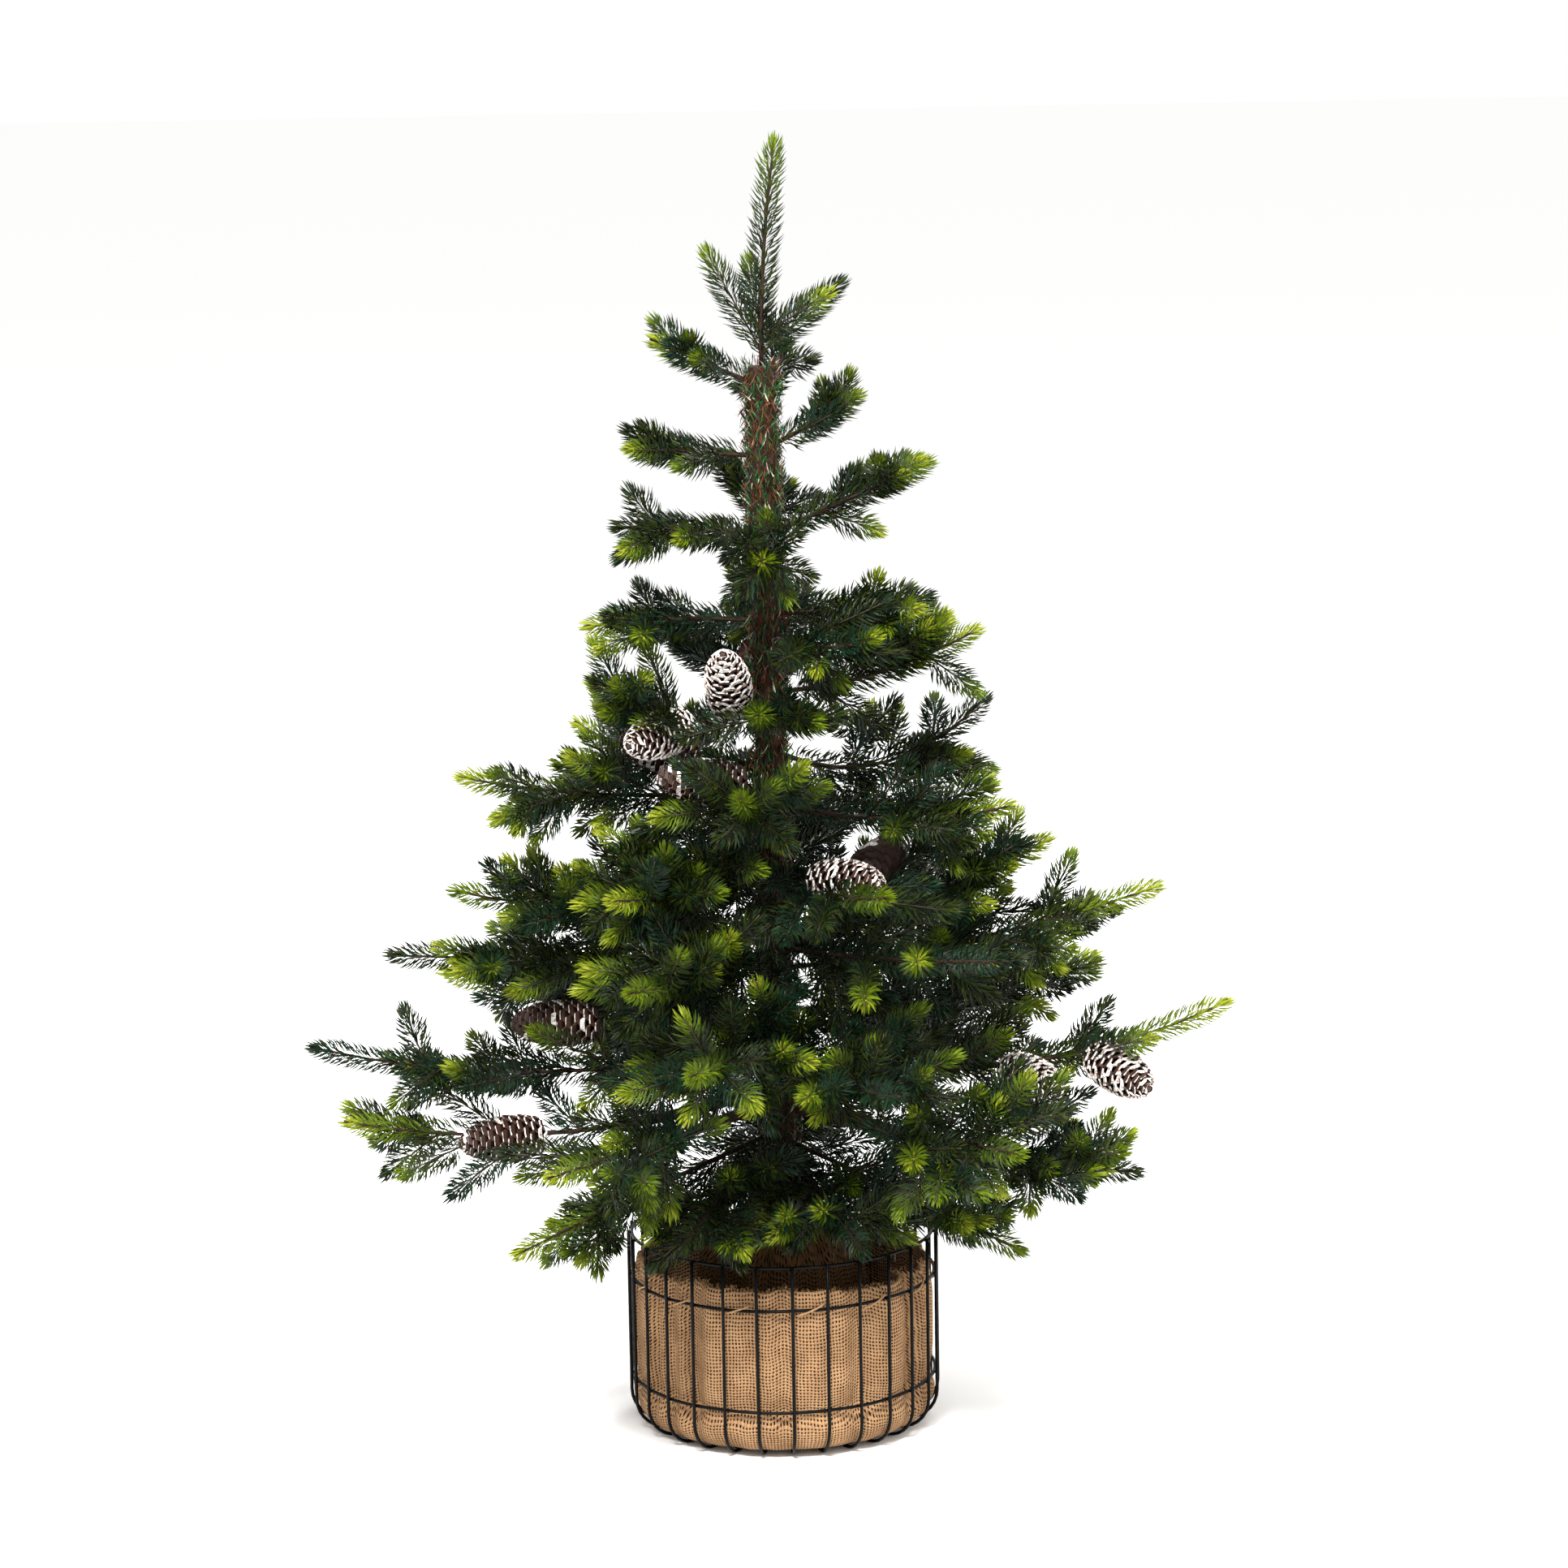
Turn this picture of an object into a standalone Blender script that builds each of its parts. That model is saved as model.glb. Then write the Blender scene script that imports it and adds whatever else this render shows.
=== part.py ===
"""Artificial spruce, 0.9 m tall, in a wire basket lined with burlap.

Metres, +Z up. The origin is the middle of the basket's flat underside.
-Y is the front, +X is on the viewer's right.
"""
import math
import random

import bmesh
import bpy
import numpy as np
from mathutils import Matrix

GAP = 0.0003

# Basket: upright wires round four rings, bent in under the liner
WIRE = 0.0024
WIRE_COUNT = 28
BASKET_RADIUS = 0.1088
CORNER_RADIUS = 0.0220
CORNER_STEPS = 2
THIRD_RING_HEIGHT = 0.0355
SECOND_RING_HEIGHT = 0.1075
RIM_HEIGHT = 0.1380
FIRST_WIRE_ANGLE = math.radians(-90.0 + 3.05)

# Burlap liner: a cloth cup inside the wires, its flat bottom on the ground
LINER_WALL = 0.0022
LINER_TOP = 0.1180
LINER_FOOT_RADIUS = 0.0845

# Burlap ball: the wrapped weight that the trunk stands in
BALL_RADIUS = 0.0610
BALL_TOP = 0.1600
BALL_NECK_RADIUS = 0.0200
BALL_SIDES = 12
BALL_FOOT_SHARE = 0.86
BALL_FOOT_RISE = 0.0140
BALL_SHOULDER = ((1.0, 0.105), (0.88, 0.130), (0.55, 0.150))
SOCKET_BOTTOM = 0.1000

# Trunk: a wrapped pole with a slight taper and lean
TRUNK_TOP = 0.7450
TRUNK_FOOT_RADIUS = 0.0115
TRUNK_TOP_RADIUS = 0.0095
TRUNK_LEAN = -0.0040
TRUNK_SIDES = 10
TREE_TOP = 0.8990
LEADER_SWAY = 0.0080

# Twigs are three-sided, and needles stand out of them in whorls of three. A whorl's reach is
# full in the middle of a spray and short at its tip, and steps back where it has no room.
STEM_RADIUS = 0.0028
TWIG_RADIUS = 0.0019
CORE_RADIUS = 0.0032
NEEDLE_REACH = 0.0140
NEEDLE_FULLNESS = 0.72
NEEDLE_SWELL = 0.28
NEEDLE_TAPER = 0.22
NEEDLE_STEP = 0.0022
WHORL_PITCH = 0.0230
STEM_PITCH = 0.0380
WHORL_RAKE = 0.85
WHORL_TURN = math.radians(30.0)
LEAST_WHORLS = 3
TIP_RUN = 0.35
CELL_MARGIN = 0.0018
TWIG_CLEARANCE = 0.0090
STEM_BARE = 0.06
TWIG_BARE = 0.22

# Boughs of the lowest full tier, bare and wrapped as the trunk is
BOUGH_ROOT_RADIUS = 0.0048
BOUGH_TIP_RADIUS = 0.0036
BOUGH_SHARE = 0.36
BOUGH_SIDES = 6

# Side twigs leave the stem between these shares of its length, and shorten towards its tip
SIDE_FIRST = 0.24
SIDE_LAST = 0.66
SIDE_SHIFT = 0.03
SIDE_ANGLE = (32.0, 50.0)
SIDE_LIFT = (-20.0, 52.0)
SIDE_SIZE = (0.88, 1.10)
SIDE_AT_ROOT = 1.15
SIDE_TAPER = 0.42

# Pine cones: egg-shaped, on a short stalk
CONE_LENGTH = 0.0620
CONE_RADIUS = 0.0170
CONE_STALK = 0.0120
CONE_SIDES = 5
CONE_PROFILE = ((0.08, 0.80), (0.42, 1.0), (0.80, 0.62))

# Each tier: side twigs on a stem, their length, and its branches.
# A branch: place, azimuth in degrees, height on the trunk, reach, height of the tip,
# rise of the tip in degrees, seed of its twigs.
TIERS = {
    "02": (1, 0.046, (
        ("left", 186, 0.735, 0.076, 0.765, 25, 12),
        ("back", 75, 0.722, 0.075, 0.757, 30, 261),
    )),
    "03": (2, 0.054, (
        ("left", 176, 0.684, 0.094, 0.690, 5, 174),
        ("right", 20, 0.692, 0.070, 0.724, 35, 154),
    )),
    "04": (2, 0.062, (
        ("left", 183, 0.632, 0.105, 0.637, 4, 104),
        ("right", 8, 0.632, 0.118, 0.676, 22, 159),
        ("front", 268, 0.620, 0.085, 0.622, 14, 184),
        ("back", 95, 0.625, 0.100, 0.655, 20, 29),
    )),
    "05": (3, 0.068, (
        ("left", 174, 0.570, 0.128, 0.566, -8, 252),
        ("right", 350, 0.575, 0.116, 0.588, 15, 252),
        ("front_right", 300, 0.562, 0.112, 0.565, 12, 173),
        ("back", 85, 0.560, 0.120, 0.585, 15, 136),
    )),
    "06": (3, 0.072, (
        ("right", 5, 0.520, 0.148, 0.560, 28, 234),
        ("left", 196, 0.505, 0.128, 0.535, 38, 142),
        ("front", 266, 0.500, 0.115, 0.522, 10, 60),
        ("back", 110, 0.515, 0.135, 0.540, 20, 72),
    )),
    "07": (3, 0.080, (
        ("left", 178, 0.452, 0.218, 0.463, 12, 186),
        ("back_left", 138, 0.470, 0.190, 0.482, 20, 66),
        ("back_right", 38, 0.475, 0.200, 0.496, 34, 186),
        ("right", 345, 0.440, 0.172, 0.445, 15, 243),
        ("front", 262, 0.455, 0.150, 0.472, 26, 85),
    )),
    "08": (4, 0.084, (
        ("left", 185, 0.385, 0.224, 0.388, 15, 119),
        ("right", 4, 0.375, 0.195, 0.412, 32, 173),
        ("front_left", 235, 0.390, 0.190, 0.405, 10, 184),
        ("front_right", 295, 0.395, 0.180, 0.405, 12, 166),
        ("back", 90, 0.390, 0.200, 0.410, 15, 155),
    )),
    "09": (4, 0.088, (
        ("left", 182, 0.335, 0.270, 0.341, 4, 14),
        ("right", 3, 0.325, 0.272, 0.376, 18, 57),
        ("front_left", 246, 0.335, 0.235, 0.355, 8, 122),
        ("front_right", 310, 0.340, 0.235, 0.365, 10, 136),
        ("back_left", 125, 0.340, 0.250, 0.355, 8, 115),
        ("back_right", 60, 0.335, 0.250, 0.360, 10, 173),
    )),
    "10": (4, 0.090, (
        ("left", 183, 0.272, 0.326, 0.278, 15, 68),
        ("right", 356, 0.262, 0.316, 0.300, 25, 136),
        ("front_left", 258, 0.285, 0.265, 0.310, 10, 68),
        ("front_right", 288, 0.280, 0.255, 0.290, 12, 15),
        ("back_left", 148, 0.285, 0.290, 0.295, 8, 138),
        ("back_right", 35, 0.280, 0.290, 0.295, 8, 199),
    )),
    "11": (4, 0.088, (
        ("left", 190, 0.238, 0.305, 0.233, 14, 25),
        ("right", 350, 0.225, 0.255, 0.184, -4, 173),
        ("front_left", 236, 0.230, 0.270, 0.235, 2, 119),
        ("front_right", 308, 0.235, 0.260, 0.240, 4, 21),
        ("back_left", 118, 0.230, 0.280, 0.225, -2, 90),
        ("back_right", 64, 0.230, 0.275, 0.225, -2, 136),
    )),
    "12": (3, 0.074, (
        ("left", 203, 0.205, 0.200, 0.142, -20, 186),
        ("right", 335, 0.200, 0.185, 0.138, -20, 255),
        ("front_left", 247, 0.205, 0.175, 0.168, -14, 186),
        ("front_right", 290, 0.200, 0.165, 0.160, -16, 173),
        ("back", 90, 0.198, 0.190, 0.155, -12, 3),
    )),
}
BOUGH_TIER = "11"

# Side twigs of the leader: azimuth and rise in degrees, length, height above the trunk
LEADER_TWIGS = (
    (180, 62, 0.080, 0.010),
    (8, 40, 0.076, 0.008),
    (335, 30, 0.062, 0.020),
    (100, 48, 0.068, 0.022),
)

# Cones: the branch that carries each, share along it, azimuth and rise in degrees,
# and how far its stalk climbs
CONES = (
    ("11_left", 0.50, 202, 0, 0.000),
    ("10_left", 0.33, 186, 2, 0.032),
    ("06_left", 0.12, 262, 48, 0.000),
    ("06_left", 0.34, 230, -6, 0.000),
    ("08_front_right", 0.24, 318, 4, 0.003),
    ("08_right", 0.22, 55, 18, 0.010),
    ("10_right", 0.66, 305, -12, 0.000),
    ("10_right", 0.47, 300, -4, 0.000),
    ("07_front", 0.30, 184, 8, 0.012),
    ("07_back_left", 0.22, 178, 16, 0.000),
    ("06_back", 0.34, 60, 30, 0.000),
    ("09_back_right", 0.46, 30, 4, 0.000),
    ("10_back_left", 0.48, 110, 6, 0.000),
)


def clear_scene():
    """Remove whatever the file opened with."""
    for thing in list(bpy.data.objects):
        bpy.data.objects.remove(thing, do_unlink=True)


def make_material(name, colour, roughness, metallic=0.0):
    """A plain Principled material."""
    material = bpy.data.materials.new(name)
    material.use_nodes = True
    shader = material.node_tree.nodes["Principled BSDF"]
    shader.inputs["Base Color"].default_value = (*colour, 1.0)
    shader.inputs["Roughness"].default_value = roughness
    shader.inputs["Metallic"].default_value = metallic
    return material


def add_object(name, mesh, material=None):
    """Link a mesh to the scene as a named object."""
    thing = bpy.data.objects.new(name, mesh)
    bpy.context.scene.collection.objects.link(thing)
    if material is not None:
        mesh.materials.append(material)
    return thing


def mesh_from(name, vertices, faces):
    """A mesh from points and faces, triangles where a quad would be bent."""
    mesh = bpy.data.meshes.new(name)
    mesh.from_pydata([tuple(v) for v in vertices], [], faces)
    mesh.update()
    return mesh


def direction(azimuth, rise):
    """Unit vector at an azimuth and a rise, both in radians."""
    level = math.cos(rise)
    return np.array([level * math.cos(azimuth), level * math.sin(azimuth), math.sin(rise)])


def trunk_radius(height):
    """Radius of the tapering pole."""
    share = (height - SOCKET_BOTTOM) / (TRUNK_TOP - SOCKET_BOTTOM)
    return TRUNK_FOOT_RADIUS + (TRUNK_TOP_RADIUS - TRUNK_FOOT_RADIUS) * share


def trunk_middle(height):
    """Middle of the leaning pole."""
    return np.array([TRUNK_LEAN * height / TRUNK_TOP, 0.0, height])


def bend(start, middle, end, count):
    """Points along a quadratic Bezier curve."""
    t = np.linspace(0.0, 1.0, count)[:, None]
    return (1 - t) ** 2 * start + 2 * t * (1 - t) * middle + t * t * end


def branch_curve(azimuth, root, reach, tip, rise, count=9):
    """A branch from the trunk's skin to its tip, which rises at the given angle."""
    around = math.radians(azimuth)
    lift = math.radians(rise)
    level = direction(around, 0.0)
    skin = trunk_radius(root) + GAP
    start = trunk_middle(root) + level * skin
    end = trunk_middle(root) + level * reach
    end[2] = tip
    middle = end - direction(around, lift) * 0.5 * (reach - skin) / math.cos(lift)
    return bend(start, middle, end, count)


def lengths_along(points):
    """Distance from the first point to each."""
    steps = np.linalg.norm(np.diff(points, axis=0), axis=1)
    return np.concatenate([[0.0], np.cumsum(steps)])


def point_at(points, distance):
    """Point and unit direction at a distance along a line of points."""
    lengths = lengths_along(points)
    distance = min(max(distance, 0.0), lengths[-1])
    index = min(int(np.searchsorted(lengths, distance, side="right")) - 1, len(points) - 2)
    step = points[index + 1] - points[index]
    size = lengths[index + 1] - lengths[index]
    return points[index] + step * (distance - lengths[index]) / size, step / size


def part_of(points, start, end, count=7):
    """The stretch of a line between two distances."""
    return np.array([point_at(points, d)[0] for d in np.linspace(start, end, count)])


def cross_axes(heading):
    """Two unit vectors across a heading, the second as upright as it can be."""
    across = np.cross([0.0, 0.0, 1.0], heading)
    if np.linalg.norm(across) < 0.05:
        across = np.cross([0.0, 1.0, 0.0], heading)
    across = across / np.linalg.norm(across)
    return across, np.cross(heading, across)


def distance_to(points, line):
    """Least distance from each of some points to a line of points."""
    starts = line[:-1]
    steps = line[1:] - starts
    offsets = points[:, None, :] - starts[None, :, :]
    share = np.sum(offsets * steps, axis=2) / np.sum(steps * steps, axis=1)
    nearest = offsets - np.clip(share, 0.0, 1.0)[:, :, None] * steps
    return np.linalg.norm(nearest, axis=2).min(axis=1)


class Crown:
    """Every stem and twig of the tree, and the room that is left between them."""

    def __init__(self):
        self.stems = {}
        self.twigs = {}
        self.boughs = {}
        self.cones = {}

    def limbs(self):
        """Solid round pieces that foliage keeps clear of: axis and radius."""
        trunk = np.array([trunk_middle(0.0), trunk_middle(TRUNK_TOP)])
        yield None, trunk, TRUNK_FOOT_RADIUS
        for name, bough in self.boughs.items():
            yield name, bough, BOUGH_ROOT_RADIUS
        for name, cones in self.cones.items():
            for _, cone in cones:
                yield name, cone, CONE_RADIUS

    def clear_of_pot(self, points, margin):
        """Whether points are outside the basket and the ball."""
        radius = np.hypot(points[:, 0], points[:, 1])
        in_basket = (radius < BASKET_RADIUS + WIRE + margin)
        in_basket &= (points[:, 2] < RIM_HEIGHT + WIRE + margin)
        in_ball = (radius < BALL_RADIUS + margin) & (points[:, 2] < BALL_TOP + margin)
        return not bool(np.any(in_basket | in_ball))

    def clear_of_limbs(self, name, points, margin):
        """Whether points lie clear of the trunk, other boughs and other cones."""
        for owner, axis, radius in self.limbs():
            if owner != name and distance_to(points, axis).min() < radius + margin:
                return False
        return True

    def lines_of(self, name):
        """The stem and the twigs of one mass."""
        return [self.stems[name]] + self.twigs.get(name, [])

    def twig_fits(self, name, line):
        """Whether a new twig is clear of every other mass, limb, cone and the pot."""
        for other in self.stems:
            if other == name:
                continue
            for kept in self.lines_of(other):
                if distance_to(line, kept).min() < TWIG_CLEARANCE:
                    return False
        clear = TWIG_CLEARANCE / 2
        return self.clear_of_limbs(name, line, clear) and self.clear_of_pot(line, clear)

    def in_own_space(self, name, point):
        """Whether a point is nearer to its own mass than to anything else."""
        points = point[None, :]
        own = min(distance_to(points, line)[0] for line in self.lines_of(name))
        for other in self.stems:
            if other == name:
                continue
            for line in self.lines_of(other):
                if distance_to(points, line)[0] < own + CELL_MARGIN:
                    return False
        return (self.clear_of_limbs(name, points, CELL_MARGIN)
                and self.clear_of_pot(points, CELL_MARGIN))


def leaving(line, share, sign, angle, lift, size):
    """A straight twig that leaves a line at a share of its length, to one side and up or down."""
    root, heading = point_at(line, share * lengths_along(line)[-1])
    across, upright = cross_axes(heading)
    out = across * sign * math.cos(lift) + upright * math.sin(lift)
    aim = heading * math.cos(angle) + out * math.sin(angle)
    return np.array([root, root + aim * size / 2, root + aim * size])


def side_twigs(stem, count, length, picker):
    """Side twigs by a seeded rule: by turns left and right, shorter towards the tip."""
    sign = picker.choice((-1, 1))
    for index in range(count):
        share = SIDE_FIRST + (SIDE_LAST - SIDE_FIRST) * (index + 0.5) / count
        share += picker.uniform(-SIDE_SHIFT, SIDE_SHIFT)
        angle = math.radians(picker.uniform(*SIDE_ANGLE))
        lift = math.radians(picker.uniform(*SIDE_LIFT))
        size = length * (SIDE_AT_ROOT - SIDE_TAPER * share) * picker.uniform(*SIDE_SIZE)
        yield leaving(stem, share, sign, angle, lift, size)
        sign = -sign


def grow_crown():
    """Set out the stems, then the cones, then the twigs that have room."""
    crown = Crown()
    top = trunk_middle(TRUNK_TOP)
    tip = np.array([LEADER_SWAY, 0.0, TREE_TOP])
    knee = top + np.array([0.0, 0.0, (TREE_TOP - TRUNK_TOP) / 2])
    foot = top + np.array([0.0, 0.0, GAP])
    crown.stems["01_leader"] = bend(foot, knee, tip, 7)
    for tier, (_, _, branches) in TIERS.items():
        for place, *sizes, _ in branches:
            crown.stems[f"{tier}_{place}"] = branch_curve(*sizes)
    for name, share, azimuth, rise, climb in CONES:
        stem = crown.stems[name]
        root = point_at(stem, share * lengths_along(stem)[-1])[0]
        aim = direction(math.radians(azimuth), math.radians(rise))
        base = root + aim * CONE_STALK + np.array([0.0, 0.0, climb])
        cone = np.array([base, base + aim * CONE_LENGTH])
        crown.cones.setdefault(name, []).append((root, cone))
    for place, *_ in TIERS[BOUGH_TIER][2]:
        name = f"{BOUGH_TIER}_{place}"
        whole = crown.stems[name]
        total = lengths_along(whole)[-1]
        crown.boughs[name] = part_of(whole, 0.0, total * BOUGH_SHARE, 5)
        crown.stems[name] = part_of(whole, total * BOUGH_SHARE + GAP, total)
    crown.twigs["01_leader"] = []
    for azimuth, rise, length, height in LEADER_TWIGS:
        root = point_at(crown.stems["01_leader"], height)[0]
        aim = direction(math.radians(azimuth), math.radians(rise))
        twig = np.array([root, root + aim * length / 2, root + aim * length])
        crown.twigs["01_leader"].append(twig)
    for tier, (count, length, branches) in TIERS.items():
        for place, *_, seed in branches:
            name = f"{tier}_{place}"
            picker = random.Random(seed)
            crown.twigs[name] = []
            for twig in side_twigs(crown.stems[name], count, length, picker):
                if crown.twig_fits(name, twig[1:]):
                    crown.twigs[name].append(twig)
    return crown


def ring_points(centre, heading, radii, turn):
    """Corners round a point, square to a heading."""
    across, upright = cross_axes(heading)
    corners = []
    for index, radius in enumerate(radii):
        angle = turn + 2 * math.pi * index / len(radii)
        corners.append(centre + (across * math.cos(angle) + upright * math.sin(angle)) * radius)
    return corners


def tube_mesh(name, rings, tip=None):
    """Closed mesh through rings of equal count, ending in a cap or in a point."""
    sides = len(rings[0])
    vertices = [corner for ring in rings for corner in ring]
    faces = [list(range(sides))[::-1]]
    for row in range(len(rings) - 1):
        low = row * sides
        high = low + sides
        for index in range(sides):
            after = (index + 1) % sides
            faces.append([low + index, low + after, high + after])
            faces.append([low + index, high + after, high + index])
    last = (len(rings) - 1) * sides
    if tip is None:
        faces.append(list(range(last, last + sides)))
    else:
        vertices.append(tip)
        for index in range(sides):
            faces.append([last + index, last + (index + 1) % sides, len(vertices) - 1])
    return mesh_from(name, vertices, faces)


def needle_reach(share):
    """How far needles stand out along a spray: full in the middle, short at the ends."""
    swell = math.sin(math.pi * share)
    return NEEDLE_REACH * (NEEDLE_FULLNESS + NEEDLE_SWELL * swell - NEEDLE_TAPER * share ** 4)


def spray_mesh(name, crown, mass, line, bare, level_root=None):
    """A three-sided twig whose needles stand out in whorls; a needle with no room is left out."""
    is_stem = level_root is not None
    total = lengths_along(line)[-1]
    start, heading = point_at(line, 0.0)
    clad = total * (1 - bare)
    whorls = max(LEAST_WHORLS, round(clad / (STEM_PITCH if is_stem else WHORL_PITCH)))
    pitch = clad / (whorls + TIP_RUN)
    turn = 0.0
    radius = STEM_RADIUS if is_stem else TWIG_RADIUS
    rings = [ring_points(start, level_root if is_stem else heading, [radius] * 3, turn)]
    if is_stem:
        spot, heading = point_at(line, total * bare)
        rings.append(ring_points(spot, heading, [radius] * 3, turn))
    for index in range(whorls):
        foot = total * bare + pitch * index
        if index:
            turn += WHORL_TURN
            spot, heading = point_at(line, foot)
            rings.append(ring_points(spot, heading, [CORE_RADIUS] * 3, turn))
        turn += WHORL_TURN
        spot, heading = point_at(line, foot + pitch * WHORL_RAKE)
        reach = needle_reach((index + 0.5) / whorls)
        across, upright = cross_axes(heading)
        corners = []
        for corner in range(3):
            radius = reach
            angle = turn + 2 * math.pi * corner / 3
            out = across * math.cos(angle) + upright * math.sin(angle)
            while radius > CORE_RADIUS and not crown.in_own_space(mass, spot + out * radius):
                radius -= NEEDLE_STEP
            corners.append(spot + out * max(radius, CORE_RADIUS))
        rings.append(corners)
    return tube_mesh(name, rings, line[-1])


def cone_mesh(name, cone, root):
    """An egg-shaped cone on its stalk."""
    aim = (cone[1] - cone[0]) / CONE_LENGTH
    rings = [ring_points(root, aim, [TWIG_RADIUS] * CONE_SIDES, 0.0)]
    for share, width in CONE_PROFILE:
        spot = cone[0] + aim * CONE_LENGTH * share
        rings.append(ring_points(spot, aim, [CONE_RADIUS * width] * CONE_SIDES, 0.0))
    return tube_mesh(name, rings, cone[1])


def shells_of(shape):
    """Sets of faces that hang together, the largest first."""
    unseen = set(shape.faces)
    shells = []
    while unseen:
        shell = []
        front = [unseen.pop()]
        while front:
            face = front.pop()
            shell.append(face)
            for edge in face.edges:
                for other in edge.link_faces:
                    if other in unseen:
                        unseen.remove(other)
                        front.append(other)
        shells.append(shell)
    return sorted(shells, key=lambda faces: sum(face.calc_area() for face in faces), reverse=True)


def keep_outer_shell(mesh):
    """Drop loose scraps and fill sealed hollows; say whether one sound body is left."""
    shape = bmesh.new()
    shape.from_mesh(mesh)
    for shell in shells_of(shape)[1:]:
        bmesh.ops.delete(shape, geom=shell, context="FACES")
    bmesh.ops.triangulate(shape, faces=shape.faces[:])
    sound = all(edge.is_manifold for edge in shape.edges)
    sound = sound and all(vertex.is_manifold for vertex in shape.verts)
    shape.to_mesh(mesh)
    shape.free()
    return sound


def join_mass(name, meshes, material):
    """One union of the stem with its twigs and cones."""
    stem = add_object(name, meshes[0], material)
    others = bpy.data.collections.new(name + "_twigs")
    bpy.context.scene.collection.children.link(others)
    for mesh in meshes[1:]:
        others.objects.link(bpy.data.objects.new(mesh.name, mesh))
    union = stem.modifiers.new("union", "BOOLEAN")
    union.operation = "UNION"
    union.operand_type = "COLLECTION"
    union.collection = others
    for solver in ("EXACT", "MANIFOLD"):
        union.solver = solver
        bpy.context.view_layer.update()
        seen = stem.evaluated_get(bpy.context.evaluated_depsgraph_get())
        joined = bpy.data.meshes.new_from_object(seen)
        if keep_outer_shell(joined):
            break
    stem.modifiers.clear()
    stem.data = joined
    for twig in list(others.objects):
        bpy.data.objects.remove(twig, do_unlink=True)
    bpy.data.collections.remove(others)


def build_foliage(crown, material):
    """One node for each mass: its stem, twigs, needles and cones."""
    for name, stem in crown.stems.items():
        level = point_at(stem, 0.0)[1].copy()
        if name[:2] not in ("01", BOUGH_TIER):
            level[2] = 0.0
            level /= np.linalg.norm(level)
        meshes = [spray_mesh(name, crown, name, stem, STEM_BARE, level)]
        for index, twig in enumerate(crown.twigs[name]):
            meshes.append(spray_mesh(f"{name}_twig_{index}", crown, name, twig, TWIG_BARE))
        for index, (root, cone) in enumerate(crown.cones.get(name, [])):
            meshes.append(cone_mesh(f"{name}_cone_{index}", cone, root))
        join_mass("foliage_" + name, meshes, material)


def build_boughs(crown, material):
    """Bare tapering limbs that carry the lowest full tier."""
    for name, line in crown.boughs.items():
        rings = []
        level = line[1] - line[0]
        level[2] = 0.0
        level /= np.linalg.norm(level)
        for index, share in enumerate(np.linspace(0.0, 1.0, 4)):
            spot, heading = point_at(line, share * lengths_along(line)[-1])
            if index == 0:
                heading = level
            radius = BOUGH_ROOT_RADIUS + (BOUGH_TIP_RADIUS - BOUGH_ROOT_RADIUS) * share
            rings.append(ring_points(spot, heading, [radius] * BOUGH_SIDES, 0.0))
        add_object("bough_" + name, tube_mesh("bough_" + name, rings), material)


def build_trunk(material):
    """The wrapped pole, from its flat foot in the ball to the leader."""
    rings = []
    for share in np.linspace(0.0, 1.0, 3):
        height = SOCKET_BOTTOM + GAP + (TRUNK_TOP - SOCKET_BOTTOM - GAP) * share
        corners = []
        for index in range(TRUNK_SIDES):
            angle = 2 * math.pi * index / TRUNK_SIDES
            corners.append(trunk_middle(height) + direction(angle, 0.0) * trunk_radius(height))
        rings.append(corners)
    add_object("trunk", tube_mesh("trunk", rings), material)


def turned_mesh(name, profile, sides, first_angle=0.0):
    """A closed solid turned from a profile of radius and height, bottom middle to top middle."""
    shape = bmesh.new()
    points = [shape.verts.new((radius, 0.0, height)) for radius, height in profile]
    edges = [shape.edges.new(pair) for pair in zip(points[:-1], points[1:])]
    bmesh.ops.spin(shape, geom=points + edges, cent=(0, 0, 0), axis=(0, 0, 1),
                   angle=2 * math.pi, steps=sides, use_merge=True)
    bmesh.ops.remove_doubles(shape, verts=shape.verts[:], dist=0.00001)
    bmesh.ops.rotate(shape, verts=shape.verts[:], cent=(0, 0, 0),
                     matrix=Matrix.Rotation(first_angle, 3, "Z"))
    bmesh.ops.recalc_face_normals(shape, faces=shape.faces[:])
    mesh = bpy.data.meshes.new(name)
    shape.to_mesh(mesh)
    shape.free()
    return mesh


def corner_arc(radius):
    """Points of the basket's lower corner, from straight down to straight out."""
    middle = (BASKET_RADIUS - CORNER_RADIUS, CORNER_RADIUS + WIRE / 2)
    angles = np.linspace(-math.pi / 2, 0.0, CORNER_STEPS + 1)
    return [(middle[0] + radius * math.cos(a), middle[1] + radius * math.sin(a)) for a in angles]


def cage_rows():
    """Rows of the cage from the base ring up: radius, height, slope and whether a ring is there."""
    arc = corner_arc(CORNER_RADIUS)
    slopes = np.linspace(0.0, math.pi / 2, len(arc))
    rows = [(*spot, slope, index == 0) for index, (spot, slope) in enumerate(zip(arc, slopes))]
    for height in (THIRD_RING_HEIGHT, SECOND_RING_HEIGHT, RIM_HEIGHT):
        rows.append((BASKET_RADIUS, height, math.pi / 2, True))
    return rows


def link_squares(shape, first, second):
    """Four faces from one square to the next."""
    for index in range(4):
        after = (index + 1) % 4
        shape.faces.new([first[index], first[after], second[after], second[index]])


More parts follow.
